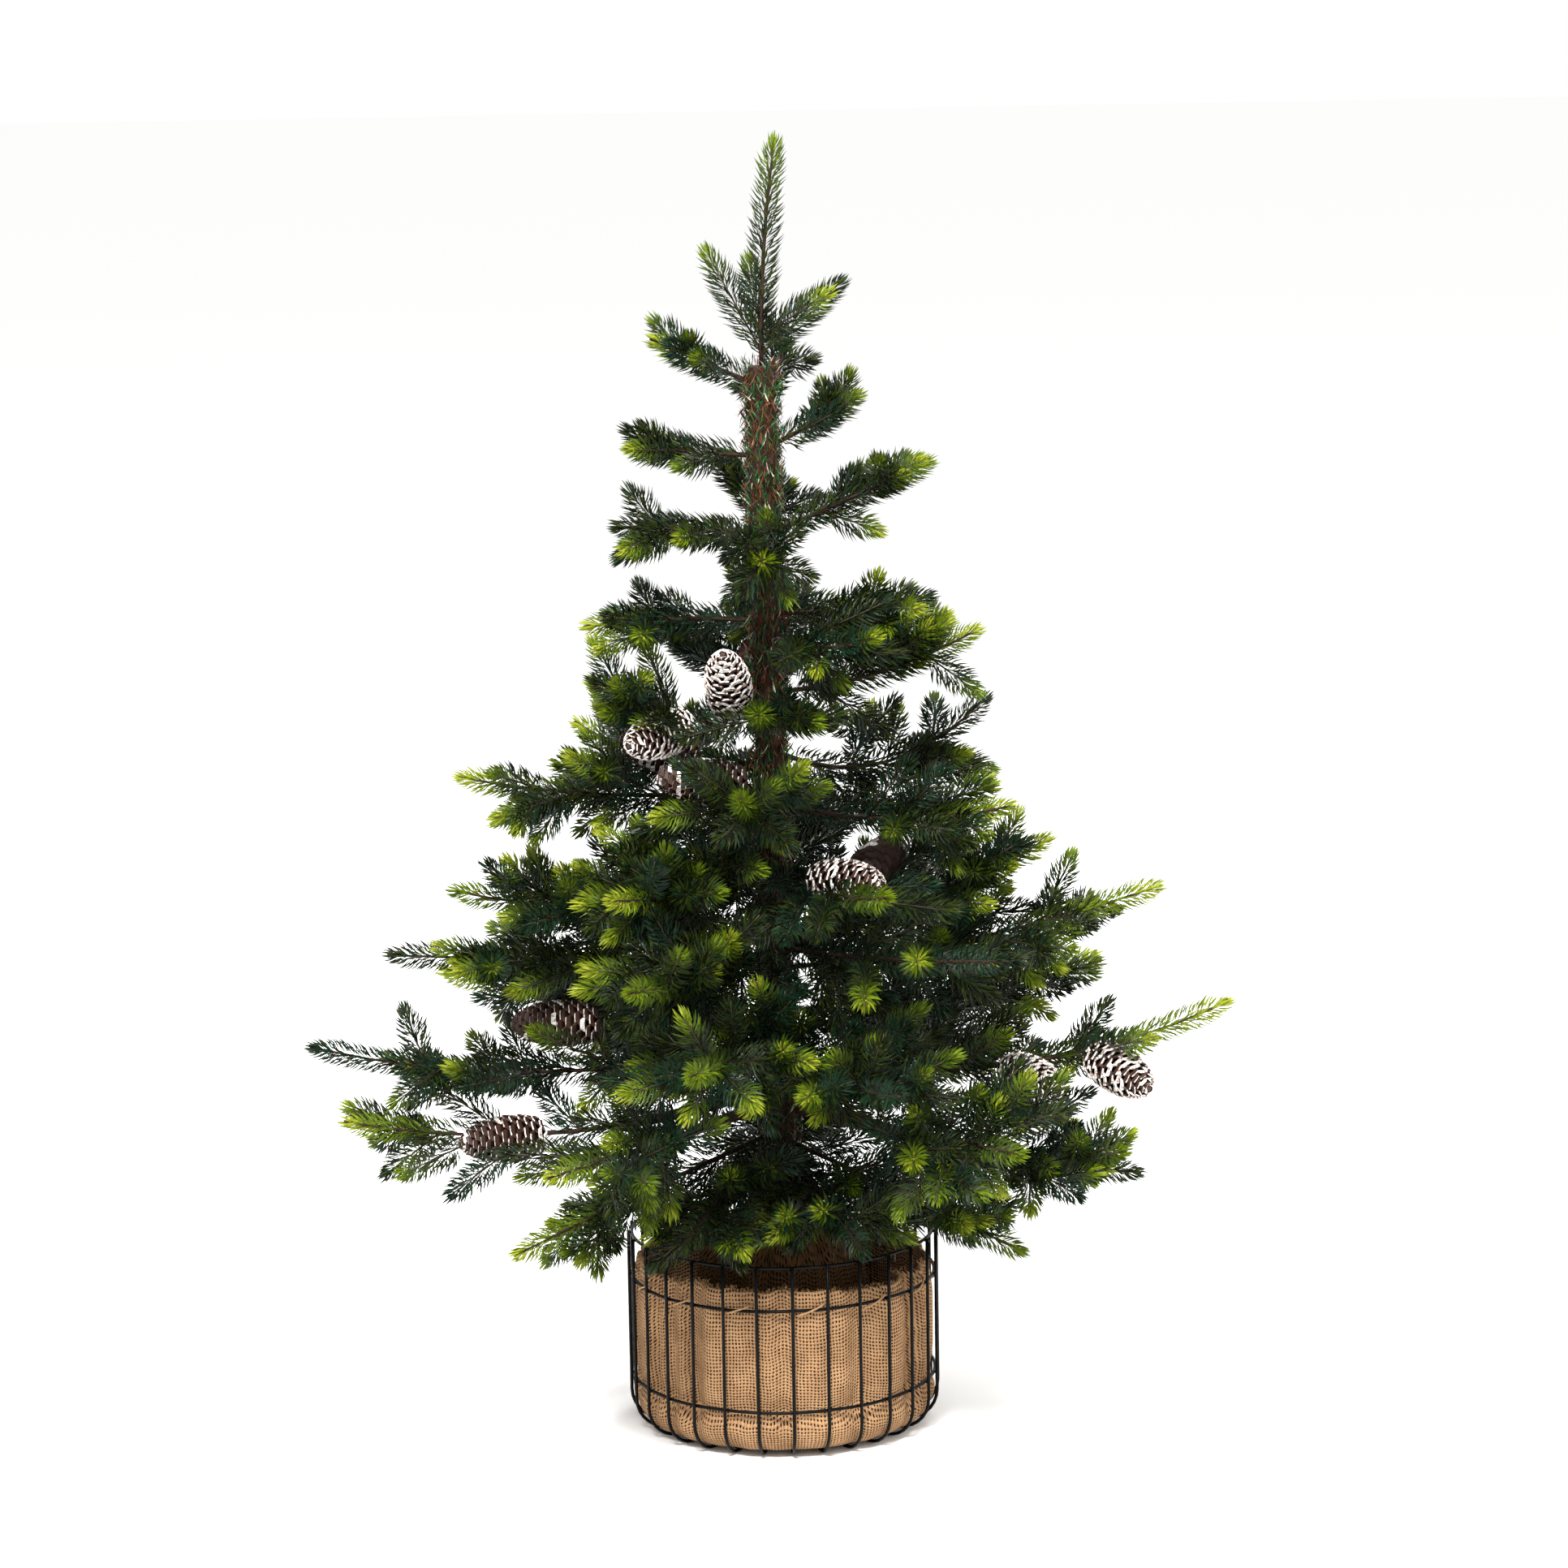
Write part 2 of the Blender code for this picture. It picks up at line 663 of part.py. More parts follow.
def build_basket(material):
    """The welded wire cage: square wires that share a small block where they cross."""
    half = WIRE / 2
    rows = cage_rows()
    shape = bmesh.new()
    columns = []
    for index in range(WIRE_COUNT):
        angle = FIRST_WIRE_ANGLE + 2 * math.pi * index / WIRE_COUNT
        out = direction(angle, 0.0)
        side = np.array([-out[1], out[0], 0.0])
        column = []
        for radius, height, slope, ring in rows:
            spot = out * radius + np.array([0.0, 0.0, height])
            along = out * math.cos(slope) + np.array([0.0, 0.0, math.sin(slope)])
            away = np.cross(side, along)
            levels = (-half, half) if ring else (0.0,)
            block = []
            for level in levels:
                square = [(-1, -1), (1, -1), (1, 1), (-1, 1)]
                block.append([shape.verts.new(spot + along * level + away * a * half + side * b * half)
                              for a, b in square])
            column.append(block)
        columns.append(column)
    for index, column in enumerate(columns):
        after = columns[(index + 1) % WIRE_COUNT]
        for row, block in enumerate(column):
            if row + 1 < len(column):
                link_squares(shape, block[-1], column[row + 1][0])
            if len(block) == 2:
                shape.faces.new([block[0][0], block[0][3], block[1][3], block[1][0]])
                shape.faces.new([block[0][1], block[0][2], block[1][2], block[1][1]])
                leaving = [block[0][3], block[0][2], block[1][2], block[1][3]]
                arriving = [after[row][0][0], after[row][0][1], after[row][1][1], after[row][1][0]]
                link_squares(shape, leaving, arriving)
        shape.faces.new(column[0][0])
        shape.faces.new(column[-1][-1])
    bmesh.ops.recalc_face_normals(shape, faces=shape.faces[:])
    mesh = bpy.data.meshes.new("basket_wires")
    shape.to_mesh(mesh)
    shape.free()
    add_object("basket_wires", mesh, material)


def build_liner(material):
    """The burlap cup, its outside clear of the wires."""
    inside = WIRE / 2 + GAP
    outer = [(0.0, 0.0), (LINER_FOOT_RADIUS, 0.0), (LINER_FOOT_RADIUS, WIRE + GAP)]
    outer += corner_arc(CORNER_RADIUS - inside)
    outer += [(BASKET_RADIUS - inside, LINER_TOP)]
    inner = [(BASKET_RADIUS - inside - LINER_WALL, LINER_TOP)]
    inner += corner_arc(CORNER_RADIUS - inside - LINER_WALL)[::-1]
    floor = inner[-1][1]
    inner += [(0.0, floor)]
    add_object("burlap_liner", turned_mesh("burlap_liner", outer + inner, WIRE_COUNT, FIRST_WIRE_ANGLE),
               material)
    return floor


def build_ball(material, floor):
    """The wrapped weight on the liner's floor, gathered round the trunk."""
    foot = floor + GAP
    socket = TRUNK_FOOT_RADIUS + 2 * GAP - TRUNK_LEAN / 2
    profile = [(0.0, foot), (BALL_RADIUS * BALL_FOOT_SHARE, foot), (BALL_RADIUS, foot + BALL_FOOT_RISE)]
    profile += [(BALL_RADIUS * share, height) for share, height in BALL_SHOULDER]
    profile += [(BALL_NECK_RADIUS, BALL_TOP), (socket, BALL_TOP)]
    profile += [(socket, SOCKET_BOTTOM), (0.0, SOCKET_BOTTOM)]
    add_object("burlap_ball", turned_mesh("burlap_ball", profile, BALL_SIDES), material)


def main():
    """Make the materials, then every part."""
    clear_scene()
    wire = make_material("black_wire", (0.012, 0.012, 0.013), 0.35, 0.6)
    burlap = make_material("burlap", (0.42, 0.27, 0.13), 0.95)
    wrap = make_material("brown_wrap", (0.10, 0.035, 0.015), 0.8)
    needles = make_material("spruce_needles", (0.035, 0.10, 0.045), 0.6)
    crown = grow_crown()
    build_trunk(wrap)
    build_boughs(crown, wrap)
    build_basket(wire)
    build_ball(burlap, build_liner(burlap))
    build_foliage(crown, needles)


main()
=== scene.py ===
# %% [markdown]
# # An artificial spruce in a wire basket
# The tree is 0.9 m tall: a tinsel-wrapped pole in a burlap-wrapped weight, tiers of moulded
# needle sprays, frosted cones, and a black wire basket with a burlap lining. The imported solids
# are loaded first. Everything that is modelled below sits on them, in metres, with Z up.

# %% Load the frame
import math
import random

import bpy
import numpy as np
from mathutils import Matrix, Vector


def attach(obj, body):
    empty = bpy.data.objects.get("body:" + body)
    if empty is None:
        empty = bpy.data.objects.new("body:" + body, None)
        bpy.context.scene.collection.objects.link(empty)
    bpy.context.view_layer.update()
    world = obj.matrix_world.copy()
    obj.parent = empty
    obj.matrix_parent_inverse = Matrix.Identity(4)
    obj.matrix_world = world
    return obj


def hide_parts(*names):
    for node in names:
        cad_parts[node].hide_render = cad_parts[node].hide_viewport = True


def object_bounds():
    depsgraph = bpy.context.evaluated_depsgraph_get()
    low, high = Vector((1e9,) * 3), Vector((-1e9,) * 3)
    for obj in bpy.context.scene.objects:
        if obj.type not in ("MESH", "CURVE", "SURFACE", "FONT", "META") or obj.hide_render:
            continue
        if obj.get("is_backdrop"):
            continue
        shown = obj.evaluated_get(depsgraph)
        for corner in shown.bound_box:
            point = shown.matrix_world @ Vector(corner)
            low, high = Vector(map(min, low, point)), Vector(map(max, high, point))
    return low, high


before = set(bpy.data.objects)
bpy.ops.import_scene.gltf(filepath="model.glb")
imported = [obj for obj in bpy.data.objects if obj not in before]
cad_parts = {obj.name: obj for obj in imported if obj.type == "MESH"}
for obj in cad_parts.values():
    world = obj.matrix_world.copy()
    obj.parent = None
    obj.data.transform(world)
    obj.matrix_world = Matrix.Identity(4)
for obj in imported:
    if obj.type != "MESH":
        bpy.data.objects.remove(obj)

cad_low, cad_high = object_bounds()
print("CAD box", [round(v, 4) for v in (*cad_low, *cad_high)])

# %% [markdown]
# ## The camera
# The camera stands 3 m in front of the tree, about as high as its tip, and looks down by some
# ten degrees, through a long lens. It is turned by a degree round its own line of sight, because
# the photograph leans by that much. Its place was found from the rings of the basket: their
# ellipses give the height, and how fast they narrow with height gives the distance.

# %% Camera
CAMERA_PLACE = (0.0, -3.0, 0.9632)
CAMERA_PITCH = 0.1678
CAMERA_TURN = -0.0022
CAMERA_ROLL = -0.0176
CAMERA_LENS = 100.66

camera_data = bpy.data.cameras.new("camera")
camera_data.lens = CAMERA_LENS
camera_data.sensor_width = 36.0
camera_data.clip_start = 0.05
camera_data.clip_end = 200.0
camera = bpy.data.objects.new("camera", camera_data)
bpy.context.scene.collection.objects.link(camera)
turned = Matrix.Rotation(CAMERA_TURN, 4, "Z")
tipped = Matrix.Rotation(math.pi / 2 - CAMERA_PITCH, 4, "X")
rolled = Matrix.Rotation(CAMERA_ROLL, 4, "Z")
camera.matrix_world = Matrix.Translation(CAMERA_PLACE) @ turned @ tipped @ rolled
bpy.context.scene.camera = camera

# %% [markdown]
# ## Helpers
# A colour is written as sRGB hex and turned to the linear numbers that the shader wants. One
# function adds a node with its settings and links. One leaves edit mode and deselects all,
# because an operator acts on whatever is selected. One gives a finished piece its name, its
# materials and its body, and hides the solids that it stands for.

# %% Helpers
def linear(hex_colour):
    """Linear RGBA of an sRGB hex colour."""
    channels = [int(hex_colour[i:i + 2], 16) / 255 for i in (1, 3, 5)]
    return [c / 12.92 if c <= 0.04045 else ((c + 0.055) / 1.055) ** 2.4 for c in channels] + [1.0]


def add_node(tree, kind, inputs=None, **settings):
    """Add one node, with values or links for its inputs."""
    node = tree.nodes.new("ShaderNode" + kind)
    for name, value in settings.items():
        setattr(node, name, value)
    for socket, value in (inputs or {}).items():
        if isinstance(value, bpy.types.Node):
            value = value.outputs[0]
        if isinstance(value, bpy.types.NodeSocket):
            tree.links.new(value, node.inputs[socket])
        else:
            node.inputs[socket].default_value = value
    return node


def new_material(name, inputs):
    """A Principled material with values set on its own sockets."""
    material = bpy.data.materials.new(name)
    material.use_nodes = True
    shader = material.node_tree.nodes["Principled BSDF"]
    for socket, value in inputs.items():
        shader.inputs[socket].default_value = value
    return material, material.node_tree, shader


def start_fresh():
    """Leave edit mode and deselect everything, the CAD nodes too."""
    if bpy.context.object is not None and bpy.context.object.mode != "OBJECT":
        bpy.ops.object.mode_set(mode="OBJECT")
    bpy.ops.object.select_all(action="DESELECT")


def mesh_object(name, vertices, loops, starts, tones=None, smooth=False):
    """An object from arrays: points, face corners, where each face starts, and its material."""
    mesh = bpy.data.meshes.new(name)
    mesh.vertices.add(len(vertices))
    mesh.vertices.foreach_set("co", np.ascontiguousarray(vertices, dtype=np.float32).ravel())
    mesh.loops.add(len(loops))
    mesh.loops.foreach_set("vertex_index", np.asarray(loops, dtype=np.int32))
    mesh.polygons.add(len(starts))
    mesh.polygons.foreach_set("loop_start", np.asarray(starts, dtype=np.int32))
    mesh.update(calc_edges=True)
    mesh.validate()
    if tones is not None:
        mesh.polygons.foreach_set("material_index", np.asarray(tones, dtype=np.int32))
    mesh.polygons.foreach_set("use_smooth", np.full(len(starts), smooth))
    thing = bpy.data.objects.new(name, mesh)
    bpy.context.scene.collection.objects.link(thing)
    return thing


def finish_piece(piece, name, slot, nodes, materials):
    """Name a piece, give it its materials and body, and hide the solids it stands for; slot is not used."""
    start_fresh()
    piece.name = name
    piece.data.name = name
    for material in materials:
        piece.data.materials.append(material)
    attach(piece, "root")
    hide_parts(*nodes)
    triangles = sum(len(face.vertices) - 2 for face in piece.data.polygons)
    print(f"{name}: {triangles} triangles")


# %% [markdown]
# ## Room
# The floor is plain and pale and reaches far past the view, and the world has nearly the same
# paleness, so no horizon shows. One large soft light from the upper left does most of the work,
# as in the photograph, where the left of each spray is brighter. Two weaker ones open up the
# right side and give the needles an edge of light from behind.

# %% Floor and light
start_fresh()
bpy.ops.mesh.primitive_plane_add(size=120.0, location=(0.0, 0.0, 0.0))
floor = bpy.context.object
floor.name = "floor"
floor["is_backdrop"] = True
paper, _, _ = new_material("matt_white_paper", {
    "Base Color": linear("#fdfdfc"), "Roughness": 0.9, "Specular IOR Level": 0.0})
floor.data.materials.append(paper)

world = bpy.data.worlds.new("studio")
bpy.context.scene.world = world
world.use_nodes = True
world.node_tree.nodes["Background"].inputs["Color"].default_value = linear("#ffffff")
world.node_tree.nodes["Background"].inputs["Strength"].default_value = 1.0
bpy.context.scene.view_settings.view_transform = "Standard"

SOFT_LIGHTS = (
    ("key_light", (-0.5, -2.2, 3.2), 0.9, 250.0),
    ("fill_light", (2.2, -1.6, 1.4), 1.6, 12.0),
    ("back_light", (0.9, 2.0, 2.2), 1.4, 50.0),
)
for name, place, size, power in SOFT_LIGHTS:
    lamp = bpy.data.lights.new(name, "AREA")
    lamp.size = size
    lamp.energy = power
    light = bpy.data.objects.new(name, lamp)
    bpy.context.scene.collection.objects.link(light)
    back = Matrix.Translation(place).translation
    towards = (-back + Matrix.Translation((0.0, 0.0, 0.45)).translation)
    light.location = place
    light.rotation_euler = towards.to_track_quat("-Z", "Y").to_euler()

# %% [markdown]
# ## Black wire
# The basket is steel wire of 2.4 mm, spot-welded and stove-enamelled black. The enamel is a
# smooth dark coat that is glossy where the light meets it and slightly rippled, as paint on thin
# wire is, with a little wear of colour. So the metal under it doesn't show: the finish is a
# dielectric with the refraction of paint, and only the noise in its gloss tells that it is wire.

# %% Stove enamel
enamel, tree, shader = new_material("black_stove_enamel", {
    "Base Color": linear("#030303"), "IOR": 1.52, "Specular IOR Level": 0.10})
place = add_node(tree, "TexCoord")
ripple = add_node(tree, "TexNoise", {"Vector": place.outputs["Object"], "Scale": 420.0, "Detail": 3.0})
gloss = add_node(tree, "MapRange", {"Value": ripple.outputs["Fac"], "From Min": 0.3, "From Max": 0.7,
                                    "To Min": 0.34, "To Max": 0.56})
relief = add_node(tree, "Bump", {"Height": ripple.outputs["Fac"], "Strength": 0.25, "Distance": 0.0004})
tree.links.new(gloss.outputs["Result"], shader.inputs["Roughness"])
tree.links.new(relief.outputs["Normal"], shader.inputs["Normal"])

# %% [markdown]
# ## Basket
# Four rings with uprights welded outside them. One upright is modelled: a circle is extruded out
# from under the base ring, spun up through the rounded corner, and extruded to the rim. It is
# copied round the basket, each copy its own mesh. Each ring is a torus that is made slightly
# uneven, because bent wire never is quite true. A small bead of weld sits at each crossing.

# %% Basket values
WIRE = 0.0024
WIRE_COUNT = 28
BASKET_RADIUS = 0.1088
CORNER_RADIUS = 0.0220
THIRD_RING_HEIGHT = 0.0355
SECOND_RING_HEIGHT = 0.1075
RIM_HEIGHT = 0.1380
FIRST_WIRE_ANGLE = math.radians(-90.0 + 3.05)
WIRE_SIDES = 8
INNER_RADIUS = BASKET_RADIUS - WIRE

start_fresh()
bend_centre = (BASKET_RADIUS - CORNER_RADIUS, 0.0, CORNER_RADIUS + WIRE / 2)
foot = BASKET_RADIUS - CORNER_RADIUS - 0.006
bpy.ops.mesh.primitive_circle_add(vertices=WIRE_SIDES, radius=WIRE / 2, fill_type="NGON",
                                  location=(foot, 0.0, WIRE / 2), rotation=(0.0, math.pi / 2, 0.0))
upright = bpy.context.object
bpy.ops.object.transform_apply(location=True, rotation=True, scale=True)
bpy.ops.object.mode_set(mode="EDIT")
bpy.ops.mesh.select_all(action="SELECT")
bpy.ops.mesh.extrude_region_move(TRANSFORM_OT_translate={"value": (0.006, 0.0, 0.0)})
bpy.ops.mesh.spin(steps=7, angle=math.pi / 2, center=bend_centre, axis=(0.0, 1.0, 0.0))
for height in (THIRD_RING_HEIGHT, SECOND_RING_HEIGHT, RIM_HEIGHT + WIRE / 2):
    bpy.ops.object.mode_set(mode="OBJECT")
    top = max(v.co.z for v in upright.data.vertices)
    bpy.ops.object.mode_set(mode="EDIT")
    bpy.ops.mesh.extrude_region_move(TRANSFORM_OT_translate={"value": (0.0, 0.0, height - top)})
bpy.ops.mesh.select_all(action="SELECT")
bpy.ops.mesh.remove_doubles(threshold=0.00001)
bpy.ops.mesh.normals_make_consistent(inside=False)
bpy.ops.object.mode_set(mode="OBJECT")
print("upright", [round(v, 4) for v in upright.dimensions], len(upright.data.vertices), "points")

# %% Copies, rings and welds
wobble = random.Random(7)
parts = []
rings = ((BASKET_RADIUS - CORNER_RADIUS, WIRE * 1.5), (INNER_RADIUS, THIRD_RING_HEIGHT),
         (INNER_RADIUS, SECOND_RING_HEIGHT), (INNER_RADIUS, RIM_HEIGHT))
for index in range(WIRE_COUNT):
    angle = FIRST_WIRE_ANGLE + 2 * math.pi * index / WIRE_COUNT
    copy = bpy.data.objects.new("upright_copy", upright.data.copy())
    bpy.context.scene.collection.objects.link(copy)
    copy.data.transform(Matrix.Rotation(wobble.uniform(-0.004, 0.004), 4, "X"))
    copy.data.transform(Matrix.Rotation(angle, 4, "Z"))
    parts.append(copy)
for radius, height in rings:
    start_fresh()
    bpy.ops.mesh.primitive_torus_add(major_radius=radius, minor_radius=WIRE / 2, major_segments=140,
                                     minor_segments=WIRE_SIDES, location=(0.0, 0.0, height))
    ring = bpy.context.object
    bpy.ops.object.transform_apply(location=True, rotation=True, scale=True)
    turns = [wobble.uniform(0.0, 2 * math.pi) for _ in range(4)]
    for vertex in ring.data.vertices:
        around = math.atan2(vertex.co.y, vertex.co.x)
        vertex.co.z += 0.00025 * math.sin(3 * around + turns[0]) + 0.00012 * math.sin(9 * around + turns[1])
        shift = 1 + 0.0016 * math.sin(4 * around + turns[2]) + 0.0008 * math.sin(11 * around + turns[3])
        vertex.co.x *= shift
        vertex.co.y *= shift
    parts.append(ring)
    for index in range(WIRE_COUNT):
        angle = FIRST_WIRE_ANGLE + 2 * math.pi * index / WIRE_COUNT
        start_fresh()
        bpy.ops.mesh.primitive_ico_sphere_add(subdivisions=1, radius=WIRE * 0.62)
        bead = bpy.context.object
        middle = radius + WIRE * 0.55
        level = height
        if height < THIRD_RING_HEIGHT:
            middle = radius
            level = height - WIRE * 0.5
        bead.data.transform(Matrix.Diagonal((0.9, 1.25, 0.8, 1.0)))
        bead.data.transform(Matrix.Translation((middle, 0.0, level)))
        bead.data.transform(Matrix.Rotation(angle, 4, "Z"))
        parts.append(bead)
bpy.data.objects.remove(upright, do_unlink=True)
start_fresh()
for thing in parts:
    thing.select_set(True)
bpy.context.view_layer.objects.active = parts[-1]
bpy.ops.object.join()
basket = bpy.context.object
for face in basket.data.polygons:
    face.use_smooth = True
finish_piece(basket, "wire_basket", "basket_wire", ["basket_wires"], [enamel])

# %% [markdown]
# ## Burlap
# Burlap, also called hessian, is a plain weave of coarse, uneven jute yarn: each thread goes over
# one and under the next, and at every corner between four threads there is a small hole. The
# holes are painted near-black as shade, and where a thread passes under the next its yarn is
# painted darker as shade.
# Here the threads are 2.4 mm apart. The UV map of each cloth counts threads, so the sine of pi
# times U swings once to a thread and changes its sign with the next. The product of both sines
# is then a chequerboard, which says whether the upright or the level thread lies on top.

# %% Burlap finish
THREAD = 0.0024


def burlap_finish(name, light, dark, hole_shade):
    """Plain-woven jute, drawn by the UV map's thread counts, with painted shade in its holes and on threads that pass
    under.
    """
    material, tree, shader = new_material(name, {
        "Roughness": 0.95, "Specular IOR Level": 0.1})
    place = add_node(tree, "TexCoord")
    uneven = add_node(tree, "TexNoise", {"Vector": place.outputs["Object"], "Scale": 75.0, "Detail": 3.0})
    shift = add_node(tree, "VectorMath", {0: uneven.outputs["Color"], 1: (0.5, 0.5, 0.5)}, operation="SUBTRACT")
    shift = add_node(tree, "VectorMath", {0: shift, "Scale": 1.3}, operation="SCALE")
    threads = add_node(tree, "VectorMath", {0: place.outputs["UV"], 1: shift}, operation="ADD")
    count = add_node(tree, "SeparateXYZ", {0: threads})
    waves = []
    for axis in ("X", "Y"):
        turn = add_node(tree, "Math", {0: count.outputs[axis], 1: math.pi}, operation="MULTIPLY")
        waves.append(add_node(tree, "Math", {0: turn}, operation="SINE"))
    crossing = add_node(tree, "Math", {0: waves[0], 1: waves[1]}, operation="MULTIPLY")
    over = add_node(tree, "Math", {0: crossing, 1: 0.5, 2: 0.5}, operation="MULTIPLY_ADD")
    under = add_node(tree, "Math", {0: 1.0, 1: over}, operation="SUBTRACT")
    rounds = [add_node(tree, "Math", {0: wave}, operation="ABSOLUTE") for wave in waves]
    lying = [add_node(tree, "Math", {0: bow, 1: share}, operation="MULTIPLY")
             for bow, share in zip(rounds, (over, under))]
    high = add_node(tree, "Math", {0: lying[0], 1: lying[1]}, operation="MAXIMUM")
    solid = add_node(tree, "Math", {0: rounds[0], 1: rounds[1]}, operation="MAXIMUM")
    slub = add_node(tree, "TexNoise", {"Vector": place.outputs["Object"], "Scale": 210.0, "Detail": 2.0})
    solid = add_node(tree, "Math", {0: slub, 1: 0.55, 2: solid}, operation="MULTIPLY_ADD")
    fibre = add_node(tree, "TexNoise", {"Vector": place.outputs["Object"], "Scale": 900.0, "Detail": 3.0})
    relief = add_node(tree, "Math", {0: fibre, 1: 0.35, 2: high}, operation="MULTIPLY_ADD")
    bump = add_node(tree, "Bump", {"Height": relief, "Strength": 0.9, "Distance": 0.0009})
    tree.links.new(bump.outputs["Normal"], shader.inputs["Normal"])
    blotch = add_node(tree, "TexNoise", {"Vector": place.outputs["Object"], "Scale": 55.0, "Detail": 4.0})
    # Painted shade: the yarn is mixed towards its dark colour where the thread passes under, on top of random darker
    # blotches of jute.
    shade = add_node(tree, "Math", {0: high, 1: 0.55, 2: -0.22}, operation="MULTIPLY_ADD")
    shade = add_node(tree, "Math", {0: blotch, 1: shade}, operation="ADD", use_clamp=True)
    yarn = add_node(tree, "Mix", {"Factor": shade, 6: linear(dark), 7: linear(light)}, data_type="RGBA")
    # Painted shade: at each corner between threads the colour turns to the near-black hole colour.
    depth = add_node(tree, "MapRange", {"Value": solid, "From Min": 0.80, "From Max": 1.04})
    mixed = add_node(tree, "Mix", {"Factor": depth, 6: linear(hole_shade), 7: yarn.outputs[2]}, data_type="RGBA")
    tree.links.new(mixed.outputs[2], shader.inputs["Base Color"])
    return material


# The last colour of each burlap is the painted shade in its holes.
burlap = burlap_finish("woven_jute_burlap", "#b8916a", "#6a4a30", "#0c0604")
old_burlap = burlap_finish("dusty_jute_burlap", "#5f4429", "#362413", "#0a0503")

# %% [markdown]
# ## Lining
# The lining is a square of burlap that is pushed into the basket, so its wall falls in soft
# upright pleats and swells out between the wires at the rounded corner. It starts as a circle,
# which is extruded ring by ring up the inside of the basket. The pleats are then moves of its
# points: the cloth may swell out between the rings and is held in where a ring passes.

# %% Lining
LINER_TOP = 0.1180
LINER_SIDES = 252
LINER_THREADS = 278
CLOTH = 0.0014
HELD_RADIUS = INNER_RADIUS - WIRE / 2 - 0.0002
FREE_RADIUS = BASKET_RADIUS - WIRE / 2 - 0.0003

start_fresh()
arc = np.linspace(-math.pi / 2, 0.0, 9)
corner = CORNER_RADIUS - 0.0026
profile = [(0.0815, 0.0030)]
profile += [(BASKET_RADIUS - CORNER_RADIUS + corner * math.cos(a), CORNER_RADIUS + 0.0012 + corner * math.sin(a))
            for a in arc]
profile += [(HELD_RADIUS, height) for height in np.linspace(0.0280, LINER_TOP, 24)]
bpy.ops.mesh.primitive_circle_add(vertices=LINER_SIDES, radius=profile[0][0], fill_type="NOTHING",
                                  location=(0.0, 0.0, profile[0][1]))
liner = bpy.context.object
bpy.ops.object.transform_apply(location=True, rotation=True, scale=True)
bpy.ops.object.mode_set(mode="EDIT")
bpy.ops.mesh.select_all(action="SELECT")
for (inner, low), (outer, high) in zip(profile[:-1], profile[1:]):
    bpy.ops.mesh.extrude_region_move(TRANSFORM_OT_translate={"value": (0.0, 0.0, high - low)})
    share = outer / inner
    bpy.ops.transform.resize(value=(share, share, 1.0), center_override=(0.0, 0.0, 0.0))
bpy.ops.mesh.select_all(action="DESELECT")
bpy.ops.object.mode_set(mode="OBJECT")
for vertex in liner.data.vertices:
    vertex.select = vertex.co.z < profile[0][1] + 0.00001
bpy.ops.object.mode_set(mode="EDIT")
bpy.ops.mesh.extrude_region_move(TRANSFORM_OT_translate={"value": (0.0, 0.0, 0.0)})
bpy.ops.transform.resize(value=(0.5, 0.5, 1.0), center_override=(0.0, 0.0, 0.0))
bpy.ops.mesh.edge_face_add()
bpy.ops.mesh.select_all(action="SELECT")
bpy.ops.mesh.normals_make_consistent(inside=False)
bpy.ops.object.mode_set(mode="OBJECT")

# %% Pleats
pleats = random.Random(31)
folds = [(math.radians(360 * (i + pleats.uniform(0.2, 0.8)) / 15), pleats.uniform(0.0026, 0.0066),
          math.radians(pleats.uniform(3.0, 6.0)), pleats.uniform(-0.4, 0.4)) for i in range(15)]
folds += [(math.radians(331.0), 0.0120, math.radians(4.5), 0.5), (math.radians(229.0), 0.0075, math.radians(3.5), -0.3),
          (math.radians(219.0), 0.0060, math.radians(5.0), 0.0)]
waves = [(count, pleats.uniform(0, 2 * math.pi), depth)
         for count, depth in ((5, 0.0006), (14, 0.0010), (23, 0.0007), (37, 0.0004))]
RING_HOLD = 0.010


def pleat_depth(around, height):
    """How far the cloth lies inside its outermost place."""
    depth = 0.0
    for middle, deep, width, lean in folds:
        gap = around - middle - lean * (height - 0.06)
        gap = (gap + math.pi) % (2 * math.pi) - math.pi
        depth += deep * math.exp(-(gap / width) ** 2) * min(1.0, max(0.0, height - 0.006) / 0.030)
    for count, phase, deep in waves:
        depth += deep * (1 - math.cos(count * around + phase + 9.0 * height)) / 2
    return depth


coordinates = np.array([v.co for v in liner.data.vertices])
for index, (x, y, z) in enumerate(coordinates):
    around = math.atan2(y, x)
    radius = math.hypot(x, y)
    held = max(math.exp(-((z - THIRD_RING_HEIGHT) / RING_HOLD) ** 2),
               math.exp(-((z - SECOND_RING_HEIGHT) / RING_HOLD) ** 2))
    bulge = (FREE_RADIUS - HELD_RADIUS) * (1 - held)
    if radius < 0.086:
        continue
    bay = math.cos(WIRE_COUNT * (around - FIRST_WIRE_ANGLE))
    swell = bulge - 0.0009 * (1 - held) * (1 + bay) / 2
    if z > SECOND_RING_HEIGHT:
        lift = (z - SECOND_RING_HEIGHT) / (LINER_TOP - SECOND_RING_HEIGHT)
        z += lift * (0.0014 * math.sin(3 * around + 0.6) + 0.0010 * math.sin(8 * around)
                     + 0.0007 * math.sin(19 * around) - 0.0022 * math.cos(around - 0.3))
        swell -= 0.0030 * lift ** 2
    share = (radius + swell - pleat_depth(around, z)) / radius
    coordinates[index] = (x * share, y * share, z)
liner.data.vertices.foreach_set("co", coordinates.ravel())


